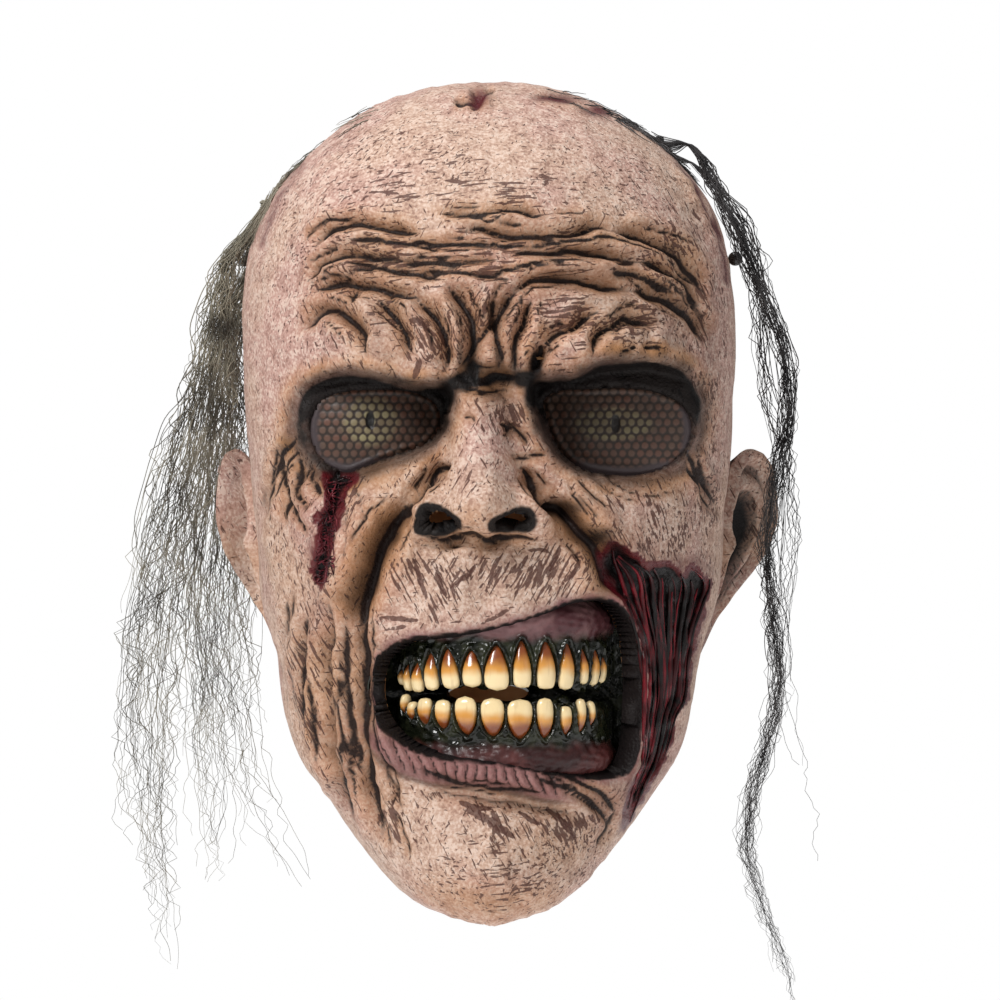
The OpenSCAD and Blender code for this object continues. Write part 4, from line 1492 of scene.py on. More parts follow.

    # ---- Paint --------------------------------------------------------------------------
    # Tan airbrush, as (x, z, width, height, strength); the wide patch low on the chin is partly painted
    # shade.
    AIRBRUSHED = (
        (-36, 8, 9, 6, 0.8), (55, 5, 12, 4, 0.8), (-30, 47, 7, 8, 0.4), (13, 48, 4, 8, 0.8),
        (18, 54, 4, 5, 0.8), (-12, 52, 5, 8, 0.5), (-34, 72, 16, 6, 0.4), (30, 76, 30, 7, 0.5),
        (-4, -6, 12, 5, 0.5), (-43, -8, 7, 14, 0.5), (-44, -34, 4, 16, 0.6), (-57, -70, 6, 34, 0.75),
        (26, -10, 6, 8, 0.7), (34, -28, 6, 14, 0.6), (13, 13, 7, 3, 0.7), (-62, 18, 4, 8, 0.4),
        (60, 30, 12, 14, 0.25), (0, -130, 34, 8, 0.6), (24, -112, 18, 12, 0.3),
        (-66, -30, 10, 30, 0.25), (18, 68, 12, 5, 0.5), (2, 60, 5, 12, 0.4),
    )
    # Spots of black paint and painted shade, as (x, z, width, height, strength), most of them between and
    # under the brows.
    BLACK_AND_SHADE_SPOTS = (
        (-10, 38, 5, 3, 0.95), (-5, 42, 3.4, 5, 0.85), (12, 39, 5, 3.4, 0.95), (15.5, 44, 2.6, 6, 0.9),
        (2, 38.6, 9, 1.7, 0.7), (-5, 51, 1.5, 9, 0.6), (-13.5, 34.5, 3.4, 5, 0.9),
        (14.5, 34, 3.4, 6, 0.9), (3, 46, 1.5, 7, 0.5), (-9, 47, 1.6, 6, 0.5), (8.5, 46, 1.5, 6, 0.5),
        (-13.5, 25, 2.2, 5, 0.5), (15.5, 24, 2.4, 5, 0.5), (-28, 38.5, 12, 2.2, 0.5),
        (40, 43, 22, 2.4, 0.45), (27, -2, 8, 5, 0.45), (37, -12, 6, 5, 0.6), (-66, 17, 3, 8, 0.35),
        (72, 4, 3, 8, 0.4), (-16, -13, 6, 1.6, 0.4), (7, -13, 7, 1.6, 0.3), (-8, 62, 3, 8, 0.3),
        (42, -20, 3, 8, 0.8), (-38, -24, 2.5, 12, 0.4),
    )
    BLOODIED = (
        (-57, -17, 2.0, 6, 0.7), (-3, 130, 4, 4.5, 0.9), (22, 130, 9, 2, 0.8), (36, 126, 7, 2.4, 0.8),
        (62, -22, 14, 6, 0.6), (46, -94, 4, 12, 0.6), (66, -44, 4, 18, 0.6), (-54, 6, 2, 3, 0.4),
        (68, -60, 3, 20, 0.45),
    )
    BLOOD_LINES = (
        (3.2, 0.9, (55, 119), (61, 112), (66, 105), (70, 97), (73.5, 89), (76, 81), (78, 72)),
        (2.2, 0.6, (-60, 109), (-66, 101), (-70.5, 92), (-74, 83)),
    )
    SHADED = (
        (0, -132, 34, 8, 0.22), (36, -118, 14, 14, 0.34), (1, 41, 19, 7, 0.75), (0, 35, 10, 4.5, 0.75),
        (-34, 62, 24, 20, 0.36), (30, 68, 34, 16, 0.36), (0, 58, 16, 22, 0.40), (58, 62, 18, 30, 0.34),
        (-56, 64, 10, 18, 0.2), (74, 40, 12, 40, 0.34), (78, -10, 16, 60, 0.42), (0, 88, 46, 8, 0.24),
        (34, -10, 14, 14, 0.28), (-58, -66, 22, 44, 0.20), (36, -36, 18, 14, 0.30),
        (50, -96, 14, 20, 0.34), (-2, -32, 34, 18, 0.20), (14, -104, 30, 14, 0.16),
        (-30, -92, 14, 26, 0.22), (72, -100, 16, 26, 0.4), (4, 28, 14, 10, 0.22),
    )
    ROSY = (
        (46, -52, 4, 30, 0.75), (40, -98, 10, 8, 0.45), (-38, -60, 4, 16, 0.4), (16, -38, 22, 4, 0.4),
        (-54, -38, 7, 10, 0.35), (-60, -6, 5, 12, 0.3), (50, -16, 10, 5, 0.3), (-20, -86, 16, 6, 0.3),
    )
    DRAG_ZONES = (
        (-20, -28, 16, 13, 1.0, Drag.FALLING), (16, -24, 22, 13, 1.0, Drag.RISING),
        (-4, -22, 12, 8, 0.7, Drag.RISING), (-28, -42, 10, 5, 0.8, Drag.FALLING),
        (-26, -98, 16, 14, 1.0, Drag.FALLING), (6, -106, 26, 12, 0.9, Drag.FALLING),
        (30, -104, 14, 14, 1.0, Drag.FALLING), (8, -122, 30, 10, 0.8, Drag.LEVEL),
        (-56, -62, 14, 42, 0.85, Drag.FALLING), (-66, -8, 10, 30, 0.4, Drag.FALLING),
        (-48, -6, 9, 26, 0.8, Drag.RISING), (54, -8, 20, 16, 0.95, Drag.FALLING),
        (76, -8, 10, 40, 1.0, Drag.FALLING), (8, 28, 10, 9, 0.9, Drag.FALLING),
        (-3, 10, 18, 18, 0.3, Drag.RISING), (-18, 50, 14, 12, 0.9, Drag.FALLING),
        (-34, 58, 12, 10, 0.8, Drag.LEVEL), (-4, 98, 64, 14, 0.75, Drag.LEVEL),
        (34, 60, 34, 14, 0.95, Drag.LEVEL), (-50, 62, 14, 22, 0.6, Drag.FALLING),
        (0, 80, 64, 12, 1.0, Drag.LEVEL), (52, -92, 12, 14, 1.0, Drag.RISING),
        (60, 80, 14, 26, 0.85, Drag.FALLING), (-30, 110, 40, 16, 0.4, Drag.RISING),
        (70, 50, 10, 40, 0.8, Drag.FALLING), (-20, 8, 8, 8, 0.6, Drag.RISING),
        (0, 58, 12, 14, 0.8, Drag.RISING),
    )
    BOLD_DASHES = (
        (2.0, (-6, -101), (0, -104), (8, -109)), (1.5, (-9, -98), (-4, -100), (1, -100)),
        (1.6, (20, -100), (24, -104), (28, -109)), (1.2, (10, -101), (14, -104), (17, -105)),
        (1.2, (-24, -19), (-22, -26), (-20, -32)), (1.2, (-17, -23), (-15, -29), (-12, -33)),
        (1.2, (-34, -38), (-28, -38.5), (-23, -39)), (1.0, (-33, -42), (-27, -41)),
        (1.2, (-4, -21), (-7, -25), (-12, -28)), (1.2, (23, -15), (21, -20), (19, -25)),
        (1.0, (4, -21), (1, -26), (-1, -30)), (1.1, (30, -18), (27, -24), (24, -27)),
        (1.5, (-22, 46), (-23, 42), (-24.5, 38.5)), (1.2, (-25, 57), (-20, 55), (-17, 53)),
        (1.0, (12, -17), (16, -16), (20, -17)), (1.0, (9, -34), (4, -37), (-2, -40)),
    )

    def paint(self) -> None:
        """Lay down the airbrushed patches, the black paint and painted shade, the blood lines and the
        dragged dashes.
        """
        for name, spots in (
            ("warm", self.AIRBRUSHED), ("black_paint_and_shade", self.BLACK_AND_SHADE_SPOTS), ("blood", self.BLOODIED),
            ("mauve", self.ROSY),
            ("shade", self.SHADED),
        ):
            for cx, cz, rx, rz, much in spots:
                spot = much * hill(self.x, self.z, cx, cz, rx, rz) * self.form.front
                self.marks[name] = np.maximum(self.marks[name], spot)
        for width, much, *line in self.BLOOD_LINES:
            gap, _ = to_line(self.x, self.z, np.array(line, float))
            uneven = 0.75 + 0.35 * ripple(self.x + self.p[..., 1], self.z, 11, 71)
            spot = much * uneven * bell(gap / width) * self.form.front
            self.marks["blood"] = np.maximum(self.marks["blood"], spot)
        for cx, cz, rx, rz, much, turn in self.DRAG_ZONES:
            spot = much * hill(self.x, self.z, cx, cz, rx, rz) * self.form.front
            before = self.marks[turn.name.lower()]
            self.marks[turn.name.lower()] = np.where(before < 0, before, np.maximum(before, spot))
        for width, *line in self.BOLD_DASHES:
            self.dash(width, tuple(line))
        self.marks["dash"] *= 1 - smoothstep(0.2, 0.6, self.marks["black_paint_and_shade"] + self.marks["blood"])
        self.marks["dash"] = np.where(self.form.front, self.marks["dash"], -1)

    def fade_sides(self) -> None:
        """Thin out the face's paint where the head turns away, so that it isn't smeared round the sides."""
        facing = -self.form.normals(self.form.base)[..., 1]
        for name, low, high in (
            ("dark", 0.12, 0.45), ("shade", 0.12, 0.45), ("warm", 0.12, 0.55), ("blood", 0.04, 0.22),
            ("mauve", 0.04, 0.3),
            ("falling", 0.02, 0.4), ("level", 0.02, 0.4), ("rising", 0.02, 0.4),
        ):
            self.marks[name] = self.marks[name] * smoothstep(low, high, facing)

    def dash(self, width: float, line: Points) -> None:
        """Drag one dash of brown paint: the mark is 1 on its line and falls to -1 past its edge.

        Args:
            width: its half-width.
            line: the line's points.
        """
        points = np.array(line, float)
        near = self.window(points, 3 * width)
        gap, along = to_line(self.x[near], self.z[near], points)
        value = 1 - gap / width / (0.6 + 0.4 * np.sin(np.pi * np.clip(along, 0.02, 0.98)))
        self.stain("dash", near, np.clip(value, -1, 1))

    # ---- The mesh -----------------------------------------------------------------------
    @staticmethod
    def neighbours(values: Array) -> list[Array]:
        """Return a table of values, and the table moved by one step in each of four directions."""
        return [values] + [np.roll(values, step, axis) for axis in (0, 1) for step in (1, -1)]

    def lining_points(self) -> Array:
        """Return where the inner wall goes: behind the deepest clay nearby, and smooth.

        Returns:
            The inner wall's points.
        """
        low = np.einsum("ijk,ijk->ij", self.p - self.core, self.form.normals(self.core))
        for _ in range(3):
            low = np.minimum.reduce(self.neighbours(low))
        for _ in range(8):
            low = sum(self.neighbours(low)) / 5
        behind = np.minimum(low, 0) - HeadForm.WALL
        return self.core + self.form.normals(self.core) * behind[..., None]

    def build(self) -> Piece:
        """Return the finished casting, with its openings cut and its inner wall.

        Returns:
            The object.
        """
        rows, columns = self.form.angle.shape
        snap = self.snapped()
        bm = grid(columns - 1, rows - 1, snap * MM)
        inner = self.lining_points() + snap - self.p
        cut = lay_values(bm, {**self.marks, "cut": self.inside_holes})["cut"]
        wall = bm.verts.layers.float_vector.new("wall")
        for vert, place in zip(bm.verts, inner.reshape(-1, 3)):
            vert[wall] = place
        gone = [f for f in bm.faces if sum(v[cut] for v in f.verts) / len(f.verts) > 0.05]
        bmesh.ops.delete(bm, geom=gone, context="FACES")
        bmesh.ops.remove_doubles(bm, verts=bm.verts, dist=MERGE)
        slope = Vector((0, -math.sin(self.NECK_SLOPE), math.cos(self.NECK_SLOPE)))
        bmesh.ops.bisect_plane(
            bm, geom=[*bm.verts, *bm.edges, *bm.faces], dist=1e-6, plane_no=slope, clear_inner=True,
            plane_co=Vector((0, self.NECK_FRONT, -HeadForm.CHIN + self.NECK_LIFT)) * MM,
        )
        for _ in range(2):
            thin = [v for v in bm.verts if len(v.link_edges) < 2]
            bmesh.ops.delete(bm, geom=thin, context="VERTS")
        made = object_of("latex_skin", bm)
        outer = len(made.data.vertices)
        thick = made.modifiers.new("wall", "SOLIDIFY")
        thick.thickness, thick.offset = HeadForm.WALL * MM, -1
        thick.material_offset = 1
        thick.use_rim = True
        made.data.materials.append(SkinFinish().material())
        made.data.materials.append(LiningFinish().material())
        bake(made)
        mesh = made.data
        co = coordinates(mesh)
        walls = np.zeros(len(mesh.vertices) * 3, np.float32)
        mesh.attributes["wall"].data.foreach_get("vector", walls)
        co[outer:] = walls.reshape(-1, 3)[outer:] * MM
        mesh.vertices.foreach_set("co", co.astype(np.float32).ravel())
        mesh.attributes.remove(mesh.attributes["wall"])
        mesh.attributes.remove(mesh.attributes["cut"])
        group = made.vertex_groups.new(name="lining")
        group.add(list(range(outer, len(mesh.vertices))), 1, "REPLACE")
        fewer = made.modifiers.new("fewer", "DECIMATE")
        fewer.ratio, fewer.vertex_group = 0.60, "lining"
        bake(made)
        made.data.shade_smooth()
        LOG.info("casting has %d faces", len(made.data.polygons))
        return made

    def snapped(self) -> Array:
        """Return the points with those near an opening's edge moved onto it.

        Returns:
            The moved points.
        """
        p = self.p.copy()
        self.inside_holes = np.full(self.x.shape, -9.0)
        for line, roll in self.openings:
            near = self.window(line, 4)
            x, z = self.x[near], self.z[near]
            inside = to_outline(x, z, line)
            step = 0.2
            dx = (to_outline(x + step, z, line) - to_outline(x - step, z, line)) / 2 / step
            dz = (to_outline(x, z + step, line) - to_outline(x, z - step, line)) / 2 / step
            size = np.maximum(np.hypot(dx, dz), 0.2)
            close = np.abs(inside) < self.SNAP
            p[near, 0] -= np.where(close, inside * dx / size, 0)
            p[near, 2] -= np.where(close, inside * dz / size, 0)
            rest = np.clip(roll + inside, 0, roll)
            p[near, 1] += np.where(close, 0.8 * np.sqrt(roll**2 - rest**2), 0)
            self.inside_holes[near] = np.maximum(self.inside_holes[near], np.where(close, 0, inside))
        return p


class Surface:
    """A finished mesh to lay other pieces on."""

    def __init__(self, made: Piece) -> None:
        """Read the mesh of an object."""
        mesh = made.data
        self.tree = BVHTree.FromPolygons([v.co for v in mesh.vertices], [p.vertices for p in mesh.polygons])

    def drape(self, line: Array, lift: float) -> Array:
        """Return points of the front plane laid on the surface, as the camera sees them.

        Args:
            line: sideways places and heights, one pair a row.
            lift: how far in front of the surface the points end up.

        Returns:
            Points in millimetres; those that miss the surface are left out.
        """
        eye = Vector((CAMERA_X, -CAMERA_BACK, 0)) * MM
        found = []
        for x, z in line:
            way = (Vector((x, FRONT_PLANE, z)) * MM - eye).normalized()
            hit = self.tree.ray_cast(eye, way)[0]
            if hit is not None:
                found.append(np.array(hit - way * lift * MM) / MM)
        return np.array(found)

    def nearest(self, point: Array) -> tuple[Array, Array]:
        """Return the nearest point of the surface and its direction, in millimetres."""
        place, normal, _, _ = self.tree.find_nearest(Vector(point) * MM)
        return np.array(place) / MM, np.array(normal)


# ---- Ears -----------------------------------------------------------------------------------
@dataclass
class Ear:
    """A cast ear: a bowl with a rolled rim, an inner fold and a lobe."""

    side: int
    reach: float
    HEAD: ClassVar = ((-60, -50, -36, -20, -8, 12, 40), (70.5, 73.5, 77.0, 79.0, 80.0, 81.0, 83.0))
    columns: int = 96
    rows: int = 44
    rim: Points = (
        (3, 8), (4.5, 14), (9, 17.5), (16, 16.5), (22, 9), (24.5, -2), (23.5, -14), (19.5, -26),
        (14, -36), (10, -45), (6, -52), (1.5, -52), (0, -44), (1, -34), (0.5, -24), (0, -12), (1.5, 0),
    )

    def build(self) -> Piece:
        """Return the ear, closed behind.

        Returns:
            The object.
        """
        line = closed(self.rim, 6)
        spots = np.linspace(0, len(line), self.columns, endpoint=False)
        wrap = np.vstack([line, line[:1]])
        ry = np.interp(spots, np.arange(len(wrap)), wrap[:, 0])
        rz = np.interp(spots, np.arange(len(wrap)), wrap[:, 1])
        turn = np.arctan2(rz + 12, ry - 11)
        places = []
        for k in range(self.rows + 1):
            t = k / self.rows * 1.42
            share = np.full_like(ry, min(t, 1.0) if t < 1 else 1 - (t - 1) * 0.62)
            y = 11 + (ry - 11) * share
            z = -12 + (rz + 12) * share
            out = 0.5 + self.plain(y, z)
            upper = smoothstep(-48, -20, z)
            if t <= 1:
                out = out + 3.0 * bell((t - 0.92) / 0.09) * upper
                above = smoothstep(-0.5, 0.6, np.cos(turn - 0.5))
                out = out + 2.6 * bell((t - 0.60) / 0.10) * upper * above
                out = out - 8.0 * bell((t - 0.16) / 0.34) * smoothstep(-46, -30, z)
                out = out - 2.4 * bell((t - 0.77) / 0.08) * upper
                out = out + 3.0 * bell((z + 15) / 4) * smoothstep(8, 2, y) * smoothstep(0.3, 0.7, t)
            else:
                back = (t - 1) / 0.42
                out = out - 4.2 * back**0.6 - out * 0.62 * back**1.5
            x = self.side * (np.interp(z, *self.HEAD) - 1.5 + out + 0.3 * ripple(y * 3, z, 14, 51))
            places.append(np.stack([x, y, z], -1))
        bm = grid(self.columns, self.rows, np.array([np.vstack([r, r[:1]]) for r in places]) * MM)
        bmesh.ops.remove_doubles(bm, verts=bm.verts, dist=MERGE)
        rims = [e for e in bm.edges if e.is_boundary]
        bmesh.ops.holes_fill(bm, edges=rims, sides=0)
        bmesh.ops.recalc_face_normals(bm, faces=bm.faces)
        name = "left_ear" if self.side < 0 else "right_ear"
        made = object_of(name, bm)
        self.paint(made)
        return made

    def plain(self, y: Array, z: Array) -> Array:
        """Return how far the ear stands out from the head before its folds."""
        hinge = np.clip(y / 24, 0, 1)
        return self.reach * hinge**0.8 * (0.30 + 0.70 * smoothstep(-52, -8, z))

    def paint(self, made: Piece) -> None:
        """Paint shade into the bowl and grooves, more of it on the right ear, and warm the rim.

        Args:
            made: the object.
        """
        co = coordinates(made.data) / MM
        y, z = co[:, 1], co[:, 2]
        sunk = np.abs(co[:, 0]) - np.interp(z, *self.HEAD) + 1.0 - self.plain(y, z)
        deep = smoothstep(-0.5, -6.0, sunk)
        even = np.ones(len(co))
        # Painted shade: darker in the bowl and grooves, and darker all over on the right ear (side 1).
        for name, value in {
            "black_paint_and_shade": deep * (0.5 + 0.3 * self.side) * smoothstep(-44, -34, z),
            "dark": smoothstep(0.4, -1.6, sunk) * (0.35 + 0.15 * self.side),
            "warm": 0.12 + 0.2 * ripple(y, z, 16, 52), "mauve": smoothstep(-36, -50, z) * 0.4,
            "dash": -even, "falling": 0.25 * even, "shade": (0.16 + 0.22 * self.side) * even,
            "blood": 0 * even, "rising": 0 * even, "level": 0 * even,
        }.items():
            set_values(made.data, name, value)


# ---- Eyes -----------------------------------------------------------------------------------
@dataclass
class Lens:
    """A domed eye of perforated mesh, printed with an iris, in its rolled rim."""

    name: str
    side: int
    outline: Points
    iris: tuple[float, float, float, float]
    pupil: tuple[float, float, float, float]
    band: tuple[float, float]
    pitch: float = 2.9
    step: float = 0.42
    border: float = 1.6

    def build(self, skin: Skin, finish: Material) -> Piece:
        """Return the lens, a little larger than its opening and just behind it.

        Args:
            skin: the casting in front of it.
            finish: the material to put on it.

        Returns:
            The object.
        """
        outline = closed(self.outline)
        low, high = outline.min(0) - self.border - 1, outline.max(0) + self.border + 1
        columns, rows = (np.ceil((high - low) / self.step)).astype(int)
        across, up = np.linspace(low[0], high[0], columns + 1), np.linspace(low[1], high[1], rows + 1)
        xs, zs = np.meshgrid(across, up)
        inside = to_outline(xs, zs, outline)
        cell, tone = self.cells(xs, zs)
        cx, cz, rx, rz = self.iris
        iris = 1.6 - np.hypot((xs - cx) / rx, (zs - cz) / rz)
        px, pz, pr, ph = self.pupil
        pupil = 1 - np.hypot((xs - px) / pr, (zs - pz) / ph)
        left, bottom = self.band
        outer = smoothstep(left + 3, left, xs if self.side == 0 else -xs)
        band = smoothstep(3.6, 1.8, inside) * np.maximum(outer, smoothstep(bottom + 3, bottom, zs))
        y = skin.lens_surface(xs, zs, self.side) + 0.9
        y = y - 0.14 * smoothstep(-0.15, 0.35, cell) * (1 - band) - 0.5 * bell((inside - 1.2) / 0.9)
        y = y + 0.6 * smoothstep(0, 0.4, pupil)
        bm = grid(columns, rows, behind_plane(xs, y, zs) * MM)
        marks = {"cell": cell, "tone": tone, "iris": iris, "pupil": pupil, "band": band, "cut": inside}
        cut = lay_values(bm, marks)["cut"]
        gone = [f for f in bm.faces if min(v[cut] for v in f.verts) < -self.border]
        bmesh.ops.delete(bm, geom=gone, context="FACES")
        made = object_of(self.name, bm)
        thick = made.modifiers.new("sheet", "SOLIDIFY")
        thick.thickness, thick.offset = 0.9 * MM, -1
        bake(made)
        made.data.materials.append(finish)
        return made

    def cells(self, x: Array, z: Array) -> tuple[Array, Array]:
        """Return how far inside its dot each place is, and a tone from 0 to 1 for that dot.

        Args:
            x: places across the face, in millimetres.
            z: heights, in millimetres.

        Returns:
            The two numbers for each place.
        """
        high = self.pitch * math.sqrt(3) / 2
        best, tone = np.full(x.shape, 9.0), np.zeros(x.shape)
        row = np.round(z / high)
        for dr in (-1, 0, 1):
            r = row + dr
            lag = (np.mod(r, 2) * 0.5) * self.pitch
            for dc in (0, 1):
                c = np.floor((x - lag) / self.pitch) + dc
                gap = np.hypot(x - lag - c * self.pitch, z - r * high)
                pick = np.mod(np.sin(c * 12.9898 + r * 78.233) * 43758.5453, 1)
                tone = np.where(gap < best, pick, tone)
                best = np.minimum(best, gap)
        return 1 - best / (self.pitch * 0.40), tone


# ---- Teeth and gums -------------------------------------------------------------------------
@dataclass(frozen=True)
class Arch:
    """The half ellipse that the teeth stand on."""

    middle: float = 4.5
    radius: float = 38.0
    depth: float = 34.0
    front: float = -95.9
    bite: float = -62.5

    def at(self, angle: Array, back: float | Array = 0.0) -> Array:
        """Return points at angles round the arch, some way behind its front, in millimetres.

        Args:
            angle: the angle round the arch, in radians.
            back: how far behind the arch's line.

        Returns:
            The points.
        """
        x = self.middle + self.radius * np.sin(angle)
        y = self.front + self.depth * (1 - np.cos(angle))
        turn = np.arctan2(self.depth * np.sin(angle), self.radius * np.cos(angle))
        return np.stack([x - back * np.sin(turn), y + back * np.cos(turn)], -1)


@dataclass(frozen=True)
class ToothCut:
    """How one tooth differs from a plain one: shares of its width and height, a shift and a lean."""

    width: float
    top: float
    bottom: float
    lean: float = 0.0


UPPER_CUTS = (
    ToothCut(0.80, -54, -60), ToothCut(0.85, -52, -62), ToothCut(0.92, -52, -62.4, 2),
    ToothCut(0.92, -49.2, -61.8, 4), ToothCut(0.92, -48, -61.4, 8), ToothCut(0.84, -48.5, -60.7, 3),
    ToothCut(1.03, -46.8, -61.8, 1), ToothCut(0.78, -45.2, -61.1, 1), ToothCut(0.92, -45.4, -61.5, 0),
    ToothCut(0.86, -46, -61.6, -3), ToothCut(0.62, -47.4, -59.8, 3), ToothCut(0.82, -47, -60.2, -4),
    ToothCut(0.75, -49, -59.4, -3),
)
LOWER_CUTS = (
    ToothCut(0.7, -70, -62.8), ToothCut(0.75, -72, -65.2), ToothCut(0.95, -73.4, -64, -2),
    ToothCut(0.78, -74.6, -64.6, -2), ToothCut(0.93, -76.4, -63.6, -4), ToothCut(0.90, -77, -64.1, -2),
    ToothCut(1.0, -77.8, -64.5, 0), ToothCut(0.80, -77.6, -64, 0), ToothCut(0.66, -76.6, -66.6, 0),
    ToothCut(0.7, -76, -64.2, 2), ToothCut(0.62, -74, -65, 2),
)


@dataclass
class Jaw:
    """One dental base and its teeth."""

    name: str
    upper: bool
    cuts: tuple[ToothCut, ...]
    arch: Arch = field(default_factory=Arch)
    thick: float = 4.4
    FILL: ClassVar = 0.91
    SPADE: ClassVar = (
        (0, 0.03, 0.08, 0.16, 0.32, 0.5, 0.65, 0.8, 0.92, 1),
        (0, 0.62, 0.84, 0.96, 1, 0.90, 0.73, 0.52, 0.28, 0),
    )
    EGG: ClassVar = (
        (0, 0.03, 0.08, 0.18, 0.35, 0.55, 0.75, 0.9, 1), (0, 0.56, 0.78, 0.95, 1, 0.93, 0.74, 0.46, 0),
    )

    def profile(self) -> tuple:
        """Return how a tooth's width goes from its cutting edge to its root."""
        return self.SPADE if self.upper else self.EGG

    def places(self) -> list[tuple[Vector, Vector]]:
        """Return the frame's box of each tooth, in order from the left."""
        return [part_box(f"{self.name}_tooth_{i + 1}") for i in range(len(self.cuts))]

    def teeth(self, finish: Material) -> list[Piece]:
        """Return the separate teeth."""
        placed = zip(self.cuts, self.angles())
        return [self.tooth(i, cut, angle, finish) for i, (cut, angle) in enumerate(placed)]

    def tooth_width(self, i: int) -> float:
        """Return the room that a tooth has along the arch.

        Args:
            i: the tooth's number.

        Returns:
            The width, in millimetres.
        """
        angles = self.angles()
        left = angles[max(i - 1, 0)]
        right = angles[min(i + 1, len(angles) - 1)]
        count = 1 if i in (0, len(angles) - 1) else 2
        return float(np.linalg.norm(self.arch.at(np.array(right)) - self.arch.at(np.array(left)))) / count

    def angles(self) -> list[float]:
        """Return each tooth's angle round the arch, from the frame.

        Returns:
            The angles, in radians.
        """
        found = []
        for low, high in self.places():
            share = ((low.x + high.x) / 2 / MM - self.arch.middle) / self.arch.radius
            found.append(math.asin(max(-0.99, min(0.99, share))))
        return found

    def tooth(self, i: int, cut: ToothCut, angle: float, finish: Material) -> Piece:
        """Return one tooth: a wide cutting edge that narrows to a pointed root.

        Args:
            i: the tooth's number.
            cut: the tooth's own measures.
            angle: the angle round the arch, in radians.
            finish: the material to put on it.

        Returns:
            The tooth.
        """
        bm = bmesh.new()
        bmesh.ops.create_uvsphere(bm, u_segments=28, v_segments=22, radius=1)
        width, tall = self.tooth_width(i) * cut.width * self.FILL, abs(cut.top - cut.bottom)
        way = 1 if self.upper else -1
        rng = np.random.default_rng(200 + i + 50 * self.upper)
        skew, chip = rng.uniform(-0.08, 0.08), rng.uniform(0, 0.05)
        root = bm.verts.layers.float.new("root")
        turn = math.atan2(self.arch.depth * math.sin(angle), self.arch.radius * math.cos(angle))
        place = self.arch.at(np.array(angle), self.thick / 2 - 0.4)
        for vert in bm.verts:
            x, y, z = vert.co
            share = math.acos(max(-1, min(1, -z))) / math.pi
            around = max(math.hypot(x, y), 1e-6)
            shape = float(np.interp(share, *self.profile()))
            flat_x = math.copysign(abs(x / around) ** 0.75, x)
            tooth_x = width / 2 * flat_x * shape * (1.0 + skew * (1 - share))
            belly = math.sin(math.pi * share)
            tooth_y = self.thick / 2 * (y / around) * min(1, shape * 1.15) * (0.62 + 0.30 * belly)
            tooth_y += 0.6 * share - 0.5 * belly
            rise = 0.06 * (1 - math.cos(math.pi * share)) if share < 0.08 else 0
            chipped = chip * tall * math.sin(4 * flat_x + i) * max(0, 0.3 - share)
            tooth_z = tall * (share - 0.5 - rise) + chipped
            lean = math.radians(cut.lean)
            tooth_x, tooth_z = tooth_x - tooth_z * math.sin(lean), tooth_z + tooth_x * math.sin(lean) * 0.5
            vert[root] = share
            z_place = (cut.top + cut.bottom) / 2 + way * tooth_z
            vert.co = Vector((
                place[0] + tooth_x * math.cos(turn) - tooth_y * math.sin(turn),
                place[1] + tooth_x * math.sin(turn) + tooth_y * math.cos(turn),
                z_place * (CAMERA_BACK + place[1]) / (CAMERA_BACK + FRONT_PLANE),
            )) * MM
        bmesh.ops.recalc_face_normals(bm, faces=bm.faces)
        made = object_of(f"{self.name}_tooth_{i + 1}_enamel", bm)
        made.data.materials.append(finish)
        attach(made, MASK)
        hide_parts(f"{self.name}_tooth_{i + 1}")
        return made

    def gum(self, finish: Material) -> Piece:
        """Return the wet gum: scallops round the roots, posts between teeth, and lip lining.

        Args:
            finish: the material to put on it.

        Returns:
            The dental base.
        """
        columns, rows = 330, 74
        angle = np.linspace(math.radians(-84), math.radians(84), columns + 1)
        edge, root = (self.arch.bite + 2.6, -27.0) if self.upper else (self.arch.bite - 3.6, -95.0)
        height = np.linspace(0, 1, rows + 1)
        a, t = np.meshgrid(angle, height)
        z = edge + (root - edge) * t
        along = self.arch.radius * a * 0.95
        nearest = np.full(a.shape, 99.0)
        for i, (cut, spot) in enumerate(zip(self.cuts, self.angles())):
            half = self.tooth_width(i) * cut.width * self.FILL / 2
            low, high = min(cut.top, cut.bottom), max(cut.top, cut.bottom)
            tip, base = (high, low) if self.upper else (low, high)
            share = np.clip((z - base) / (tip - base), 0, 1)
            lean = math.sin(math.radians(cut.lean)) * (1 if self.upper else -1)
            middle = self.arch.radius * spot * 0.95 - lean * (z - (low + high) / 2)
            side = np.abs(along - middle) - half * np.interp(share, *self.profile())
            way = 1 if self.upper else -1
            past = np.maximum(np.maximum((z - tip) * way, (base - z) * way), 0)
            gap = np.where(past > 0, np.hypot(np.maximum(side, 0), past), side)
            nearest = np.minimum(nearest, gap)
        beyond = (z - (-47.0)) if self.upper else (-77.5 - z)
        collar = bell((nearest - 0.75) / 0.7)
        post = smoothstep(0.4, 1.8, nearest) * smoothstep(3.5, 0, beyond)
        lining = 0.95 * smoothstep(0.5, 4.5, beyond + 1.2 * ripple(along, z, 9, 61))
        lining = lining * smoothstep(0.8, 2.6, nearest)
        back = 2.6 - 2.2 * collar - 1.2 * post + 0.3 * ripple(along, z, 3.0, 62)
        swell = 2.4 * np.sin(np.pi * np.clip((beyond - 1) / 12, 0, 1))
        back = back - swell + 6.0 * smoothstep(10, 19, beyond) + 1.2 * smoothstep(2.5, 0, np.abs(z - edge))
        back = np.where(nearest < -0.6, 3.2, back)
        spot = self.arch.at(a, back)
        places = np.stack([spot[..., 0], spot[..., 1], z], -1)
        bm = grid(columns, rows, places * MM)
        lay_values(bm, {"lining": lining})
        bmesh.ops.recalc_face_normals(bm, faces=bm.faces)
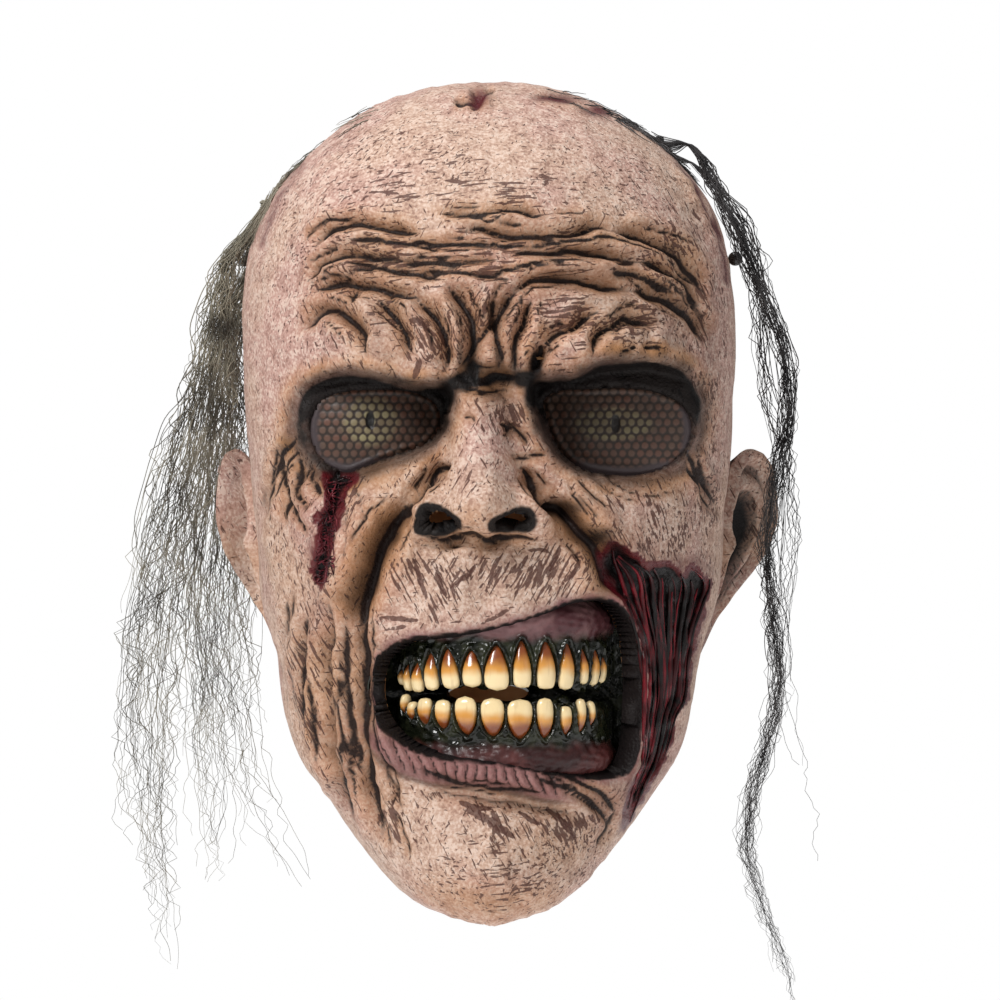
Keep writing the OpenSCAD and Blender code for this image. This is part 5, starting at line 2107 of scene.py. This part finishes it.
        if sum(f.normal.y for f in bm.faces) > 0:
            bmesh.ops.reverse_faces(bm, faces=bm.faces)
        made = object_of(f"{self.name}_gum_skin", bm)
        thick = made.modifiers.new("depth", "SOLIDIFY")
        thick.thickness, thick.offset = 3.0 * MM, -1
        bake(made)
        made.data.materials.append(finish)
        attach(made, MASK)
        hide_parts(f"{self.name}_gum")
        return made


class Pocket:
    """The black funnel behind the lips, which ends in a slit between the rows of teeth."""

    ROWS, LIP_BEHIND = 16, 3.6
    SLIT = (0.0, -62.6, 13.0, 3.4)

    def build(self, skin: Skin, finish: Material) -> Piece:
        """Return the funnel, which follows the mouth's outline at its front.

        Args:
            skin: the casting in front of it.
            finish: the material to put on it.

        Returns:
            The object.
        """
        outline = closed(MOUTH, 6)
        cx, cz, rx, rz = self.SLIT
        near = skin.form.front & (np.abs(skin.x) < 60) & (np.abs(skin.z + 60) < 45)
        x, z, y = skin.x[near], skin.z[near], skin.p[near, 1]
        closest = [np.argmin((x - px) ** 2 + (z - pz) ** 2) for px, pz in outline]
        lips = y[closest] + self.LIP_BEHIND
        for _ in range(14):
            lips = (np.roll(lips, 1) + 2 * lips + np.roll(lips, -1)) / 4
        places = []
        for k in range(self.ROWS + 1):
            t = k / self.ROWS
            ring = []
            for (px, pz), lip in zip(np.vstack([outline, outline[:1]]), [*lips, lips[0]]):
                turn = math.atan2((pz - cz) / 1.6, px - cx)
                out = 1 + 0.035 * math.sin(math.pi * min(1, 3 * t + 0.5)) * (t < 0.2)
                narrow = smoothstep(0.35, 1.0, np.array(t))
                wx = (px - cx) * out * (1 - narrow) + rx * math.cos(turn) * narrow + cx
                wz = (pz - cz) * out * (1 - narrow) + rz * math.sin(turn) * narrow + cz
                deep = max(lip, -88.0) + (-56.0 - max(lip, -88.0)) * t**0.8
                ring.append(behind_plane(wx, deep, wz))
            places.append(ring)
        bm = grid(len(outline), self.ROWS, np.array(places) * MM)
        bmesh.ops.remove_doubles(bm, verts=bm.verts, dist=MERGE)
        made = object_of("mouth_lining", bm)
        thick = made.modifiers.new("wall", "SOLIDIFY")
        thick.thickness, thick.offset = 0.8 * MM, 0
        bake(made)
        made.data.shade_smooth()
        set_values(made.data, "lining", np.zeros(len(made.data.vertices)))
        made.data.materials.append(finish)
        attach(made, MASK)
        return made


# ---- Wounds ---------------------------------------------------------------------------------
class Wounds:
    """The bared muscle of the cheek and the clotted strings of the gash."""

    STRANDS = 23
    STRINGS = 70

    def __init__(self, surface: Surface) -> None:
        """Keep the surface that the fibres lie on."""
        self.surface = surface

    @staticmethod
    def edges(outline: Points, z: float) -> tuple[float, float]:
        """Return the left and right edge of an outline at a height.

        Args:
            outline: the outline's points.
            z: the height, in millimetres.

        Returns:
            The left and the right edge.
        """
        ring = closed(outline)
        cross = []
        for (ax, az), (bx, bz) in zip(ring, np.roll(ring, -1, 0)):
            if (az > z) != (bz > z):
                cross.append(ax + (z - az) * (bx - ax) / (bz - az))
        return (min(cross), max(cross)) if len(cross) > 1 else (0.0, 0.0)

    def cheek(self, name: str, odd: int, finish: Material) -> Piece:
        """Return half of the cheek's fibres, those of the given parity.

        Args:
            name: the new name.
            odd: which of the two sets of fibres.
            finish: the material to put on it.

        Returns:
            The object.
        """
        rng = np.random.default_rng(31)
        lines, radii = [], []
        for k in range(self.STRANDS):
            q = (k + 0.5 + rng.uniform(-0.3, 0.3)) / self.STRANDS
            top = rng.uniform(-24, -16) if q < 0.5 else rng.uniform(-32, -22)
            bottom = rng.uniform(-105, -88) if q < 0.75 else rng.uniform(-96, -66)
            wide, phase = rng.uniform(0.7, 2.6), rng.uniform(0, 6)
            raised, sway = rng.uniform(-0.2, 1.4), rng.uniform(-0.5, 0.5)
            if k % 2 != odd:
                continue
            places = []
            for z in np.linspace(top, bottom, 34):
                left, right = self.edges(CHEEK_WOUND, z)
                if right - left > 0.8:
                    lean = q + 0.03 * math.sin(z / 9 + phase)
                    places.append((left + 0.4 + (right - left - 0.8) * lean + sway * math.sin(z / 14), z))
            line = self.surface.drape(np.array(places), raised)
            if len(line) < 6:
                continue
            t = np.linspace(0, 1, len(line))
            shape = np.sin(np.pi * np.clip(t, 0.02, 0.98)) ** 0.5
            lines.append(line)
            radii.append(wide * shape * (1 - 0.55 * t) * (1 + 0.18 * np.sin(t * 25 + phase)))
        return self.finish(name, lines, radii, finish)

    def gash(self, name: str, finish: Material) -> Piece:
        """Return the short crossed strings of the gash.

        Args:
            name: the new name.
            finish: the material to put on it.

        Returns:
            The object.
        """
        rng = np.random.default_rng(47)
        lines, radii = [], []
        for k in range(self.STRINGS):
            z = 7.5 - 34 * (k + rng.uniform(0, 1)) / self.STRINGS
            left, right = self.edges(GASH, z)
            if right - left < 1:
                continue
            x, turn = rng.uniform(left + 0.6, right - 0.6), rng.uniform(-1.9, 0.9)
            half = rng.uniform(1.4, 4.6)
            t = np.linspace(-1, 1, 13)
            curl = rng.uniform(0.3, 1.1) * np.sin(t * rng.uniform(2, 4) + rng.uniform(0, 6))
            xs = np.clip(x + half * t * math.cos(turn) + curl, left + 0.3, right - 0.3)
            zs = z + half * t * math.sin(turn) + curl * 0.6
            line = self.surface.drape(np.stack([xs, zs], 1), rng.uniform(0.1, 1.3))
            if len(line) < 5:
                continue
            lines.append(line)
            ends = np.clip(1 - np.linspace(-1, 1, len(line)) ** 2, 0.05, 1)
            radii.append(rng.uniform(0.22, 0.5) * np.sqrt(ends))
        return self.finish(name, lines, radii, finish)

    @staticmethod
    def finish(name: str, lines: list, radii: list, finish: Material) -> Piece:
        """Return rounded tubes that ride on the mask.

        Args:
            name: the new name.
            lines: the middle line of each tube, in millimetres.
            radii: the radius at each point of each line.
            finish: the material to put on it.

        Returns:
            The object.
        """
        made = tubes(name, lines, radii)
        round_off = made.modifiers.new("round", "SUBSURF")
        round_off.levels = round_off.render_levels = 1
        bake(made)
        made.data.shade_smooth()
        made.data.materials.append(finish)
        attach(made, MASK)
        return made


# ---- Hair -----------------------------------------------------------------------------------
@dataclass
class Lock:
    """A lock of loose crimped fibres that hangs from its knot."""

    node: str
    slot: Slot
    strands: int
    spread: float
    crimp: float
    seed: int
    strays: float = 0.16
    wild: float = 1.0
    patch: float = 8.0
    thick: float = 0.155
    short: float = 0.5
    slim: float = 1.0
    sway: float = 0.0

    def route(self) -> tuple[Array, Array]:
        """Return the middle line of the lock's solid from its root down, and its half-widths.

        Returns:
            The middle line, and the half-widths.
        """
        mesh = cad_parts[self.node].data
        co = coordinates(mesh) / MM
        high, low = co[:, 2].max(), co[:, 2].min()
        bands = np.linspace(high, low, 28)
        middles, halves = [], []
        for a, b in zip(bands[:-1], bands[1:]):
            pick = co[(co[:, 2] <= a + 1.5) & (co[:, 2] >= b - 1.5)]
            if len(pick) < 3:
                continue
            lo, hi = pick.min(0), pick.max(0)
            middles.append((lo + hi) / 2)
            halves.append([max((hi[0] - lo[0]) / 2, 1.0), max((hi[1] - lo[1]) / 2, 1.0)])
        route, wide = np.array(middles), np.array(halves)
        for _ in range(3):
            for line in (route, wide):
                line[1:-1] = (line[:-2] + 2 * line[1:-1] + line[2:]) / 4
        return route, wide

    def build(self, scalp: Surface, finish: Material) -> Piece:
        """Return the lock's fibres, which swing with its body.

        Args:
            scalp: the surface it is rooted in.
            finish: the material to put on it.

        Returns:
            The object.
        """
        middles, halves = self.route()
        rng = np.random.default_rng(self.seed)
        steps = np.concatenate([[0], np.cumsum(np.linalg.norm(np.diff(middles, axis=0), axis=1))])
        total = steps[-1]
        lines, radii = [], []
        for k in range(self.strands):
            far, way = rng.uniform(0, 1) ** 0.6, rng.uniform(0, 2 * np.pi)
            side, depth = far * np.cos(way), far * np.sin(way)
            stray = rng.uniform() < self.strays
            length = total * (rng.uniform(self.short, 1.0) if not stray else rng.uniform(0.35, 0.95))
            s = np.linspace(0, length, int(length / 2.1) + 4)
            x, y, z = (np.interp(s, steps, middles[:, i]) for i in range(3))
            wx, wy = (np.interp(s, steps, halves[:, i]) for i in range(2))
            fan = self.wild * rng.normal() if stray else 0.35 * self.spread * rng.normal()
            open_up = self.slim * smoothstep(0, 45, s) * (1 + self.spread * s / total)
            drift = self.sway * np.sin(s * 2 * np.pi / 105 + 2.6) * smoothstep(0, 30, s)
            kinks, swings = np.zeros_like(s), np.zeros_like(s)
            much = rng.uniform(0.4, 1.5)
            lengths = [rng.uniform(*bounds) for bounds in ((8, 14), (15, 28), (35, 80))]
            for length, high in zip(lengths, (0.42, 0.95, 2.0)):
                wave = length * (1 + 0.2 * np.sin(s / 17 + k))
                kinks += high * np.sin(s * 2 * np.pi / wave + rng.uniform(0, 6))
                swings += high * np.sin(s * 2 * np.pi / wave + rng.uniform(0, 6))
            loose = self.crimp * much * smoothstep(0, 30, s)
            along = s / total
            line = np.stack([
                x + side * wx * open_up + drift + kinks * loose + fan * 9 * along**1.5,
                y + depth * wy * open_up + swings * loose * 0.7, z,
            ], -1)
            lines.append(self.rooted(line, scalp, rng))
            taper = 1 - 0.6 * np.linspace(0, 1, len(line)) ** 2
            radii.append(self.thick * rng.uniform(0.6, 1.25) * taper)
        place, normal = scalp.nearest(middles[0])
        self.knot(place + normal * 1.2, lines, radii)
        made = tubes(self.node.replace("_lock", "_fibres"), lines, radii)
        made.data.materials.append(finish)
        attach(made, self.node)
        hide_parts(self.node)
        return made

    def rooted(self, line: Array, scalp: Surface, rng: np.random.Generator) -> Array:
        """Return a strand whose start is spread out over the scalp beside the knot.

        Args:
            line: the line's points.
            scalp: the surface it is rooted in.
            rng: the source of random numbers.

        Returns:
            The line with its root.
        """
        start = line[0] + np.array([0, rng.normal(0, 5), rng.normal(0, self.patch)])
        place, normal = scalp.nearest(start)
        anchor = place + normal * rng.uniform(0.3, 2.2)
        pull = smoothstep(self.patch * 3.2, 0, np.arange(len(line)) * 2.1)[:, None]
        return line + (anchor - line[0]) * pull

    @staticmethod
    def knot(place: Array, lines: list, radii: list) -> None:
        """Add the turns of fibre that tie the lock at its root.

        Args:
            place: the knot's middle, in millimetres.
            lines: the lock's lines, which the knot's are added to.
            radii: their radii, which the knot's are added to.
        """
        turn = np.linspace(0, 8 * np.pi, 60)
        for k in range(3):
            r = 1.3 + 0.3 * np.sin(turn * 0.37 + k)
            rise = np.linspace(-1.6, 1.6, len(turn)) * (1 if k % 2 else -1)
            lines.append(place + np.stack([r * np.cos(turn + 2 * k), r * np.sin(turn + 2 * k), rise], -1))
            radii.append(np.full(len(turn), 0.3))


@dataclass
class Roots:
    """A strip of short rooted hair that lies combed over the scalp."""

    node: str
    slot: Slot
    strands: int
    comb: tuple[float, float, float]
    seed: int
    top: float
    length: tuple[float, float] = (7.0, 20.0)

    def build(self, scalp: Surface, finish: Material) -> Piece:
        """Return the strip's fibres.

        Args:
            scalp: the surface it is rooted in.
            finish: the material to put on it.

        Returns:
            The object.
        """
        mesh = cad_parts[self.node].data
        co = coordinates(mesh) / MM
        rng = np.random.default_rng(self.seed)
        low = co[co[:, 2] < self.top]
        lines, radii = [], []
        for k in range(self.strands):
            co = low if k % 12 else coordinates(mesh) / MM
            start = co[rng.integers(len(co))] + rng.normal(0, 1.6, 3)
            place, normal = scalp.nearest(start)
            way = np.array(self.comb) + rng.normal(0, 0.28, 3)
            steps, lift = 7, rng.uniform(0.1, 1.6)
            stride = rng.uniform(*self.length) / steps
            line = [place - normal * 0.6]
            for k in range(steps):
                flat = way - normal * (way @ normal)
                place = place + flat / max(np.linalg.norm(flat), 1e-6) * stride
                place, normal = scalp.nearest(place)
                line.append(place + normal * (0.2 + lift * (k + 1) / steps + 0.25 * rng.uniform(-1, 1)))
                way = way + rng.normal(0, 0.22, 3)
            lines.append(np.array(line))
            radii.append(0.17 * rng.uniform(0.8, 1.4) * np.linspace(1.2, 0.4, steps + 1))
        made = tubes(self.node.replace("_base", "_roots"), lines, radii)
        made.data.materials.append(finish)
        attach(made, MASK)
        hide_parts(self.node)
        return made


# ---- The studio -----------------------------------------------------------------------------
class Studio:
    """A pale floor, soft lights and the camera."""

    FLOOR, REACH = -0.42, 1.9

    def floor(self) -> None:
        """Lay the round floor."""
        bm = bmesh.new()
        bmesh.ops.create_circle(bm, cap_ends=True, segments=96, radius=self.REACH)
        bmesh.ops.translate(bm, verts=bm.verts, vec=(0, 0, self.FLOOR))
        made = object_of("pale_floor", bm)
        p = Paint("pale_paper")
        p.set(Roughness=0.9, Base_Color=(0.9, 0.9, 0.9, 1))
        p.set(Emission_Color=(1, 1, 1, 1), Emission_Strength=0.35)
        made.data.materials.append(p.material)

    def sky(self) -> None:
        """Light all round softly, and stay white behind the mask."""
        world = bpy.data.worlds.new("studio")
        world.use_nodes = True
        nodes, links = world.node_tree.nodes, world.node_tree.links
        shade = nodes["Background"]
        shade.inputs["Color"].default_value = (1, 1, 1, 1)
        seen = nodes.new("ShaderNodeLightPath")
        strength = nodes.new("ShaderNodeMapRange")
        strength.inputs["To Min"].default_value = 0.34
        strength.inputs["To Max"].default_value = 1.0
        links.new(seen.outputs["Is Camera Ray"], strength.inputs["Value"])
        links.new(strength.outputs["Result"], shade.inputs["Strength"])
        bpy.context.scene.world = world

    def light(self, name: str, place: tuple, size: float, power: float) -> None:
        """Hang a soft square light that faces the mask.

        Args:
            name: the new name.
            place: where it stands, in metres.
            size: its width, in metres.
            power: its power, in watts.
        """
        lamp = bpy.data.lights.new(name, "AREA")
        lamp.size, lamp.energy = size, power
        held = bpy.data.objects.new(name, lamp)
        held.location = place
        held.rotation_euler = (-Vector(place)).to_track_quat("-Z", "Y").to_euler()
        bpy.context.scene.collection.objects.link(held)

    def build(self) -> None:
        """Set up the floor, the lights, the sky and the camera."""
        self.floor()
        self.sky()
        self.light("key", (-0.85, -1.15, 1.1), 0.6, 27)
        self.light("fill", (1.2, -1.3, 0.1), 1.2, 2.6)
        self.light("top", (-0.15, 0.05, 1.6), 0.9, 11)
        scene = bpy.context.scene
        scene.view_settings.view_transform = "Standard"
        lens = bpy.data.cameras.new("camera")
        lens.sensor_width = 36.0
        lens.lens = 36.0 * CAMERA_BACK / VIEW_WIDTH
        camera = bpy.data.objects.new("camera", lens)
        camera.location = Vector((CAMERA_X, -CAMERA_BACK, 0)) * MM
        camera.rotation_euler = (math.pi / 2, 0, 0)
        scene.collection.objects.link(camera)
        scene.camera = camera


def dress_cad(node: str, finish: Material) -> None:
    """Give a carried-over node its finish.

    Args:
        node: the frame's node.
        finish: the material to put on it.
    """
    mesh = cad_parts[node].data
    mesh.materials.clear()
    mesh.materials.append(finish)


def main() -> None:
    """Build every sub-assembly in order."""
    logging.basicConfig(level=logging.INFO)
    Studio().build()
    skin = Skin(HeadForm())
    casting = skin.build()
    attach(casting, MASK)
    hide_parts("mask_shell")
    surface = Surface(casting)
    paint = casting.data.materials[0]
    for side, reach in ((-1, 13.5), (1, 19.0)):
        ear = Ear(side, reach).build()
        ear.data.materials.append(paint)
        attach(ear, MASK)
        LOG.info("built %s", ear.name)
    left_eye = Lens(
        "left_eye_print", 0, LEFT_LENS, (-38, 25.5, 8, 7), (-38.3, 25.8, 1.6, 3.2), (-56, 12)
    )
    right_eye = Lens(
        "right_eye_print", 1, RIGHT_LENS, (40.5, 24.5, 11, 4.6), (41.3, 24.6, 1.6, 3.4), (-64, 11)
    )
    # The right lens gets more painted shade than the left.
    for lens, node, dim in ((left_eye, "left_eye_mesh", 0.1), (right_eye, "right_eye_mesh", 0.24)):
        made = lens.build(skin, LensFinish(node + "_print", dim).material())
        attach(made, MASK)
        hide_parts(node)
        LOG.info("built %s", made.name)
    enamel = ToothFinish().material()
    upper_wax = GumFinish("mauve_gum", (0.085, 0.026, 0.030), (0.20, 0.095, 0.095)).material()
    lower_wax = GumFinish("dark_gum", (0.030, 0.006, 0.006), (0.095, 0.024, 0.022)).material()
    upper, lower = Jaw("upper", True, UPPER_CUTS), Jaw("lower", False, LOWER_CUTS)
    for jaw, finish in ((upper, upper_wax), (lower, lower_wax)):
        jaw.gum(finish)
        LOG.info("built %d %s teeth", len(jaw.teeth(enamel)), jaw.name)
    LOG.info("built %s", Pocket().build(skin, lower_wax).name)
    wounds = Wounds(surface)
    dark = WetFinish("dark_fibre", (0.004, 0.002, 0.002), (0.055, 0.006, 0.008)).material()
    bright = WetFinish("red_fibre", (0.028, 0.003, 0.004), (0.19, 0.011, 0.018)).material()
    wounds.cheek("cheek_muscle_dark", 0, dark)
    wounds.cheek("cheek_muscle_red", 1, bright)
    clot = WetFinish("clotted_strings", (0.018, 0.003, 0.004), (0.15, 0.020, 0.028)).material()
    wounds.gash("gash_strings", clot)
    left = HairFinish("grey_fibre", (0.045, 0.038, 0.026), (0.24, 0.215, 0.16)).material()
    right = HairFinish("black_fibre", (0.010, 0.009, 0.010), (0.075, 0.07, 0.07)).material()
    for lock in (
        Lock("left_front_lock", Slot.LEFT_HAIR, 84, 0.75, 1.25, 71),
        Lock("left_side_lock", Slot.LEFT_HAIR, 70, 0.75, 1.25, 72),
        Lock("left_back_lock", Slot.LEFT_HAIR, 54, 1.0, 1.35, 73, short=0.5),
        Lock(
            "right_front_lock", Slot.RIGHT_HAIR, 46, 0.0, 0.85, 74,
            strays=0.12, wild=0.5, patch=3.0, short=0.8, slim=0.5, sway=3.6,
        ),
        Lock("right_side_lock", Slot.RIGHT_HAIR, 18, 0.4, 0.9, 75, patch=3.0, slim=0.7, sway=-2.5),
    ):
        made = lock.build(surface, left if lock.slot is Slot.LEFT_HAIR else right)
        LOG.info("built %s", made.name)
    Roots("left_hair_base", Slot.LEFT_HAIR, 380, (-0.25, 0.25, -1), 81, 119).build(surface, left)
    Roots("right_hair_base", Slot.RIGHT_HAIR, 240, (0.6, 0.2, -0.8), 82, 131).build(surface, right)
    resin = BeadFinish().material()
    for node in BEADS:
        dress_cad(node, resin)
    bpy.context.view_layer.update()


if __name__ == "__main__":
    main()
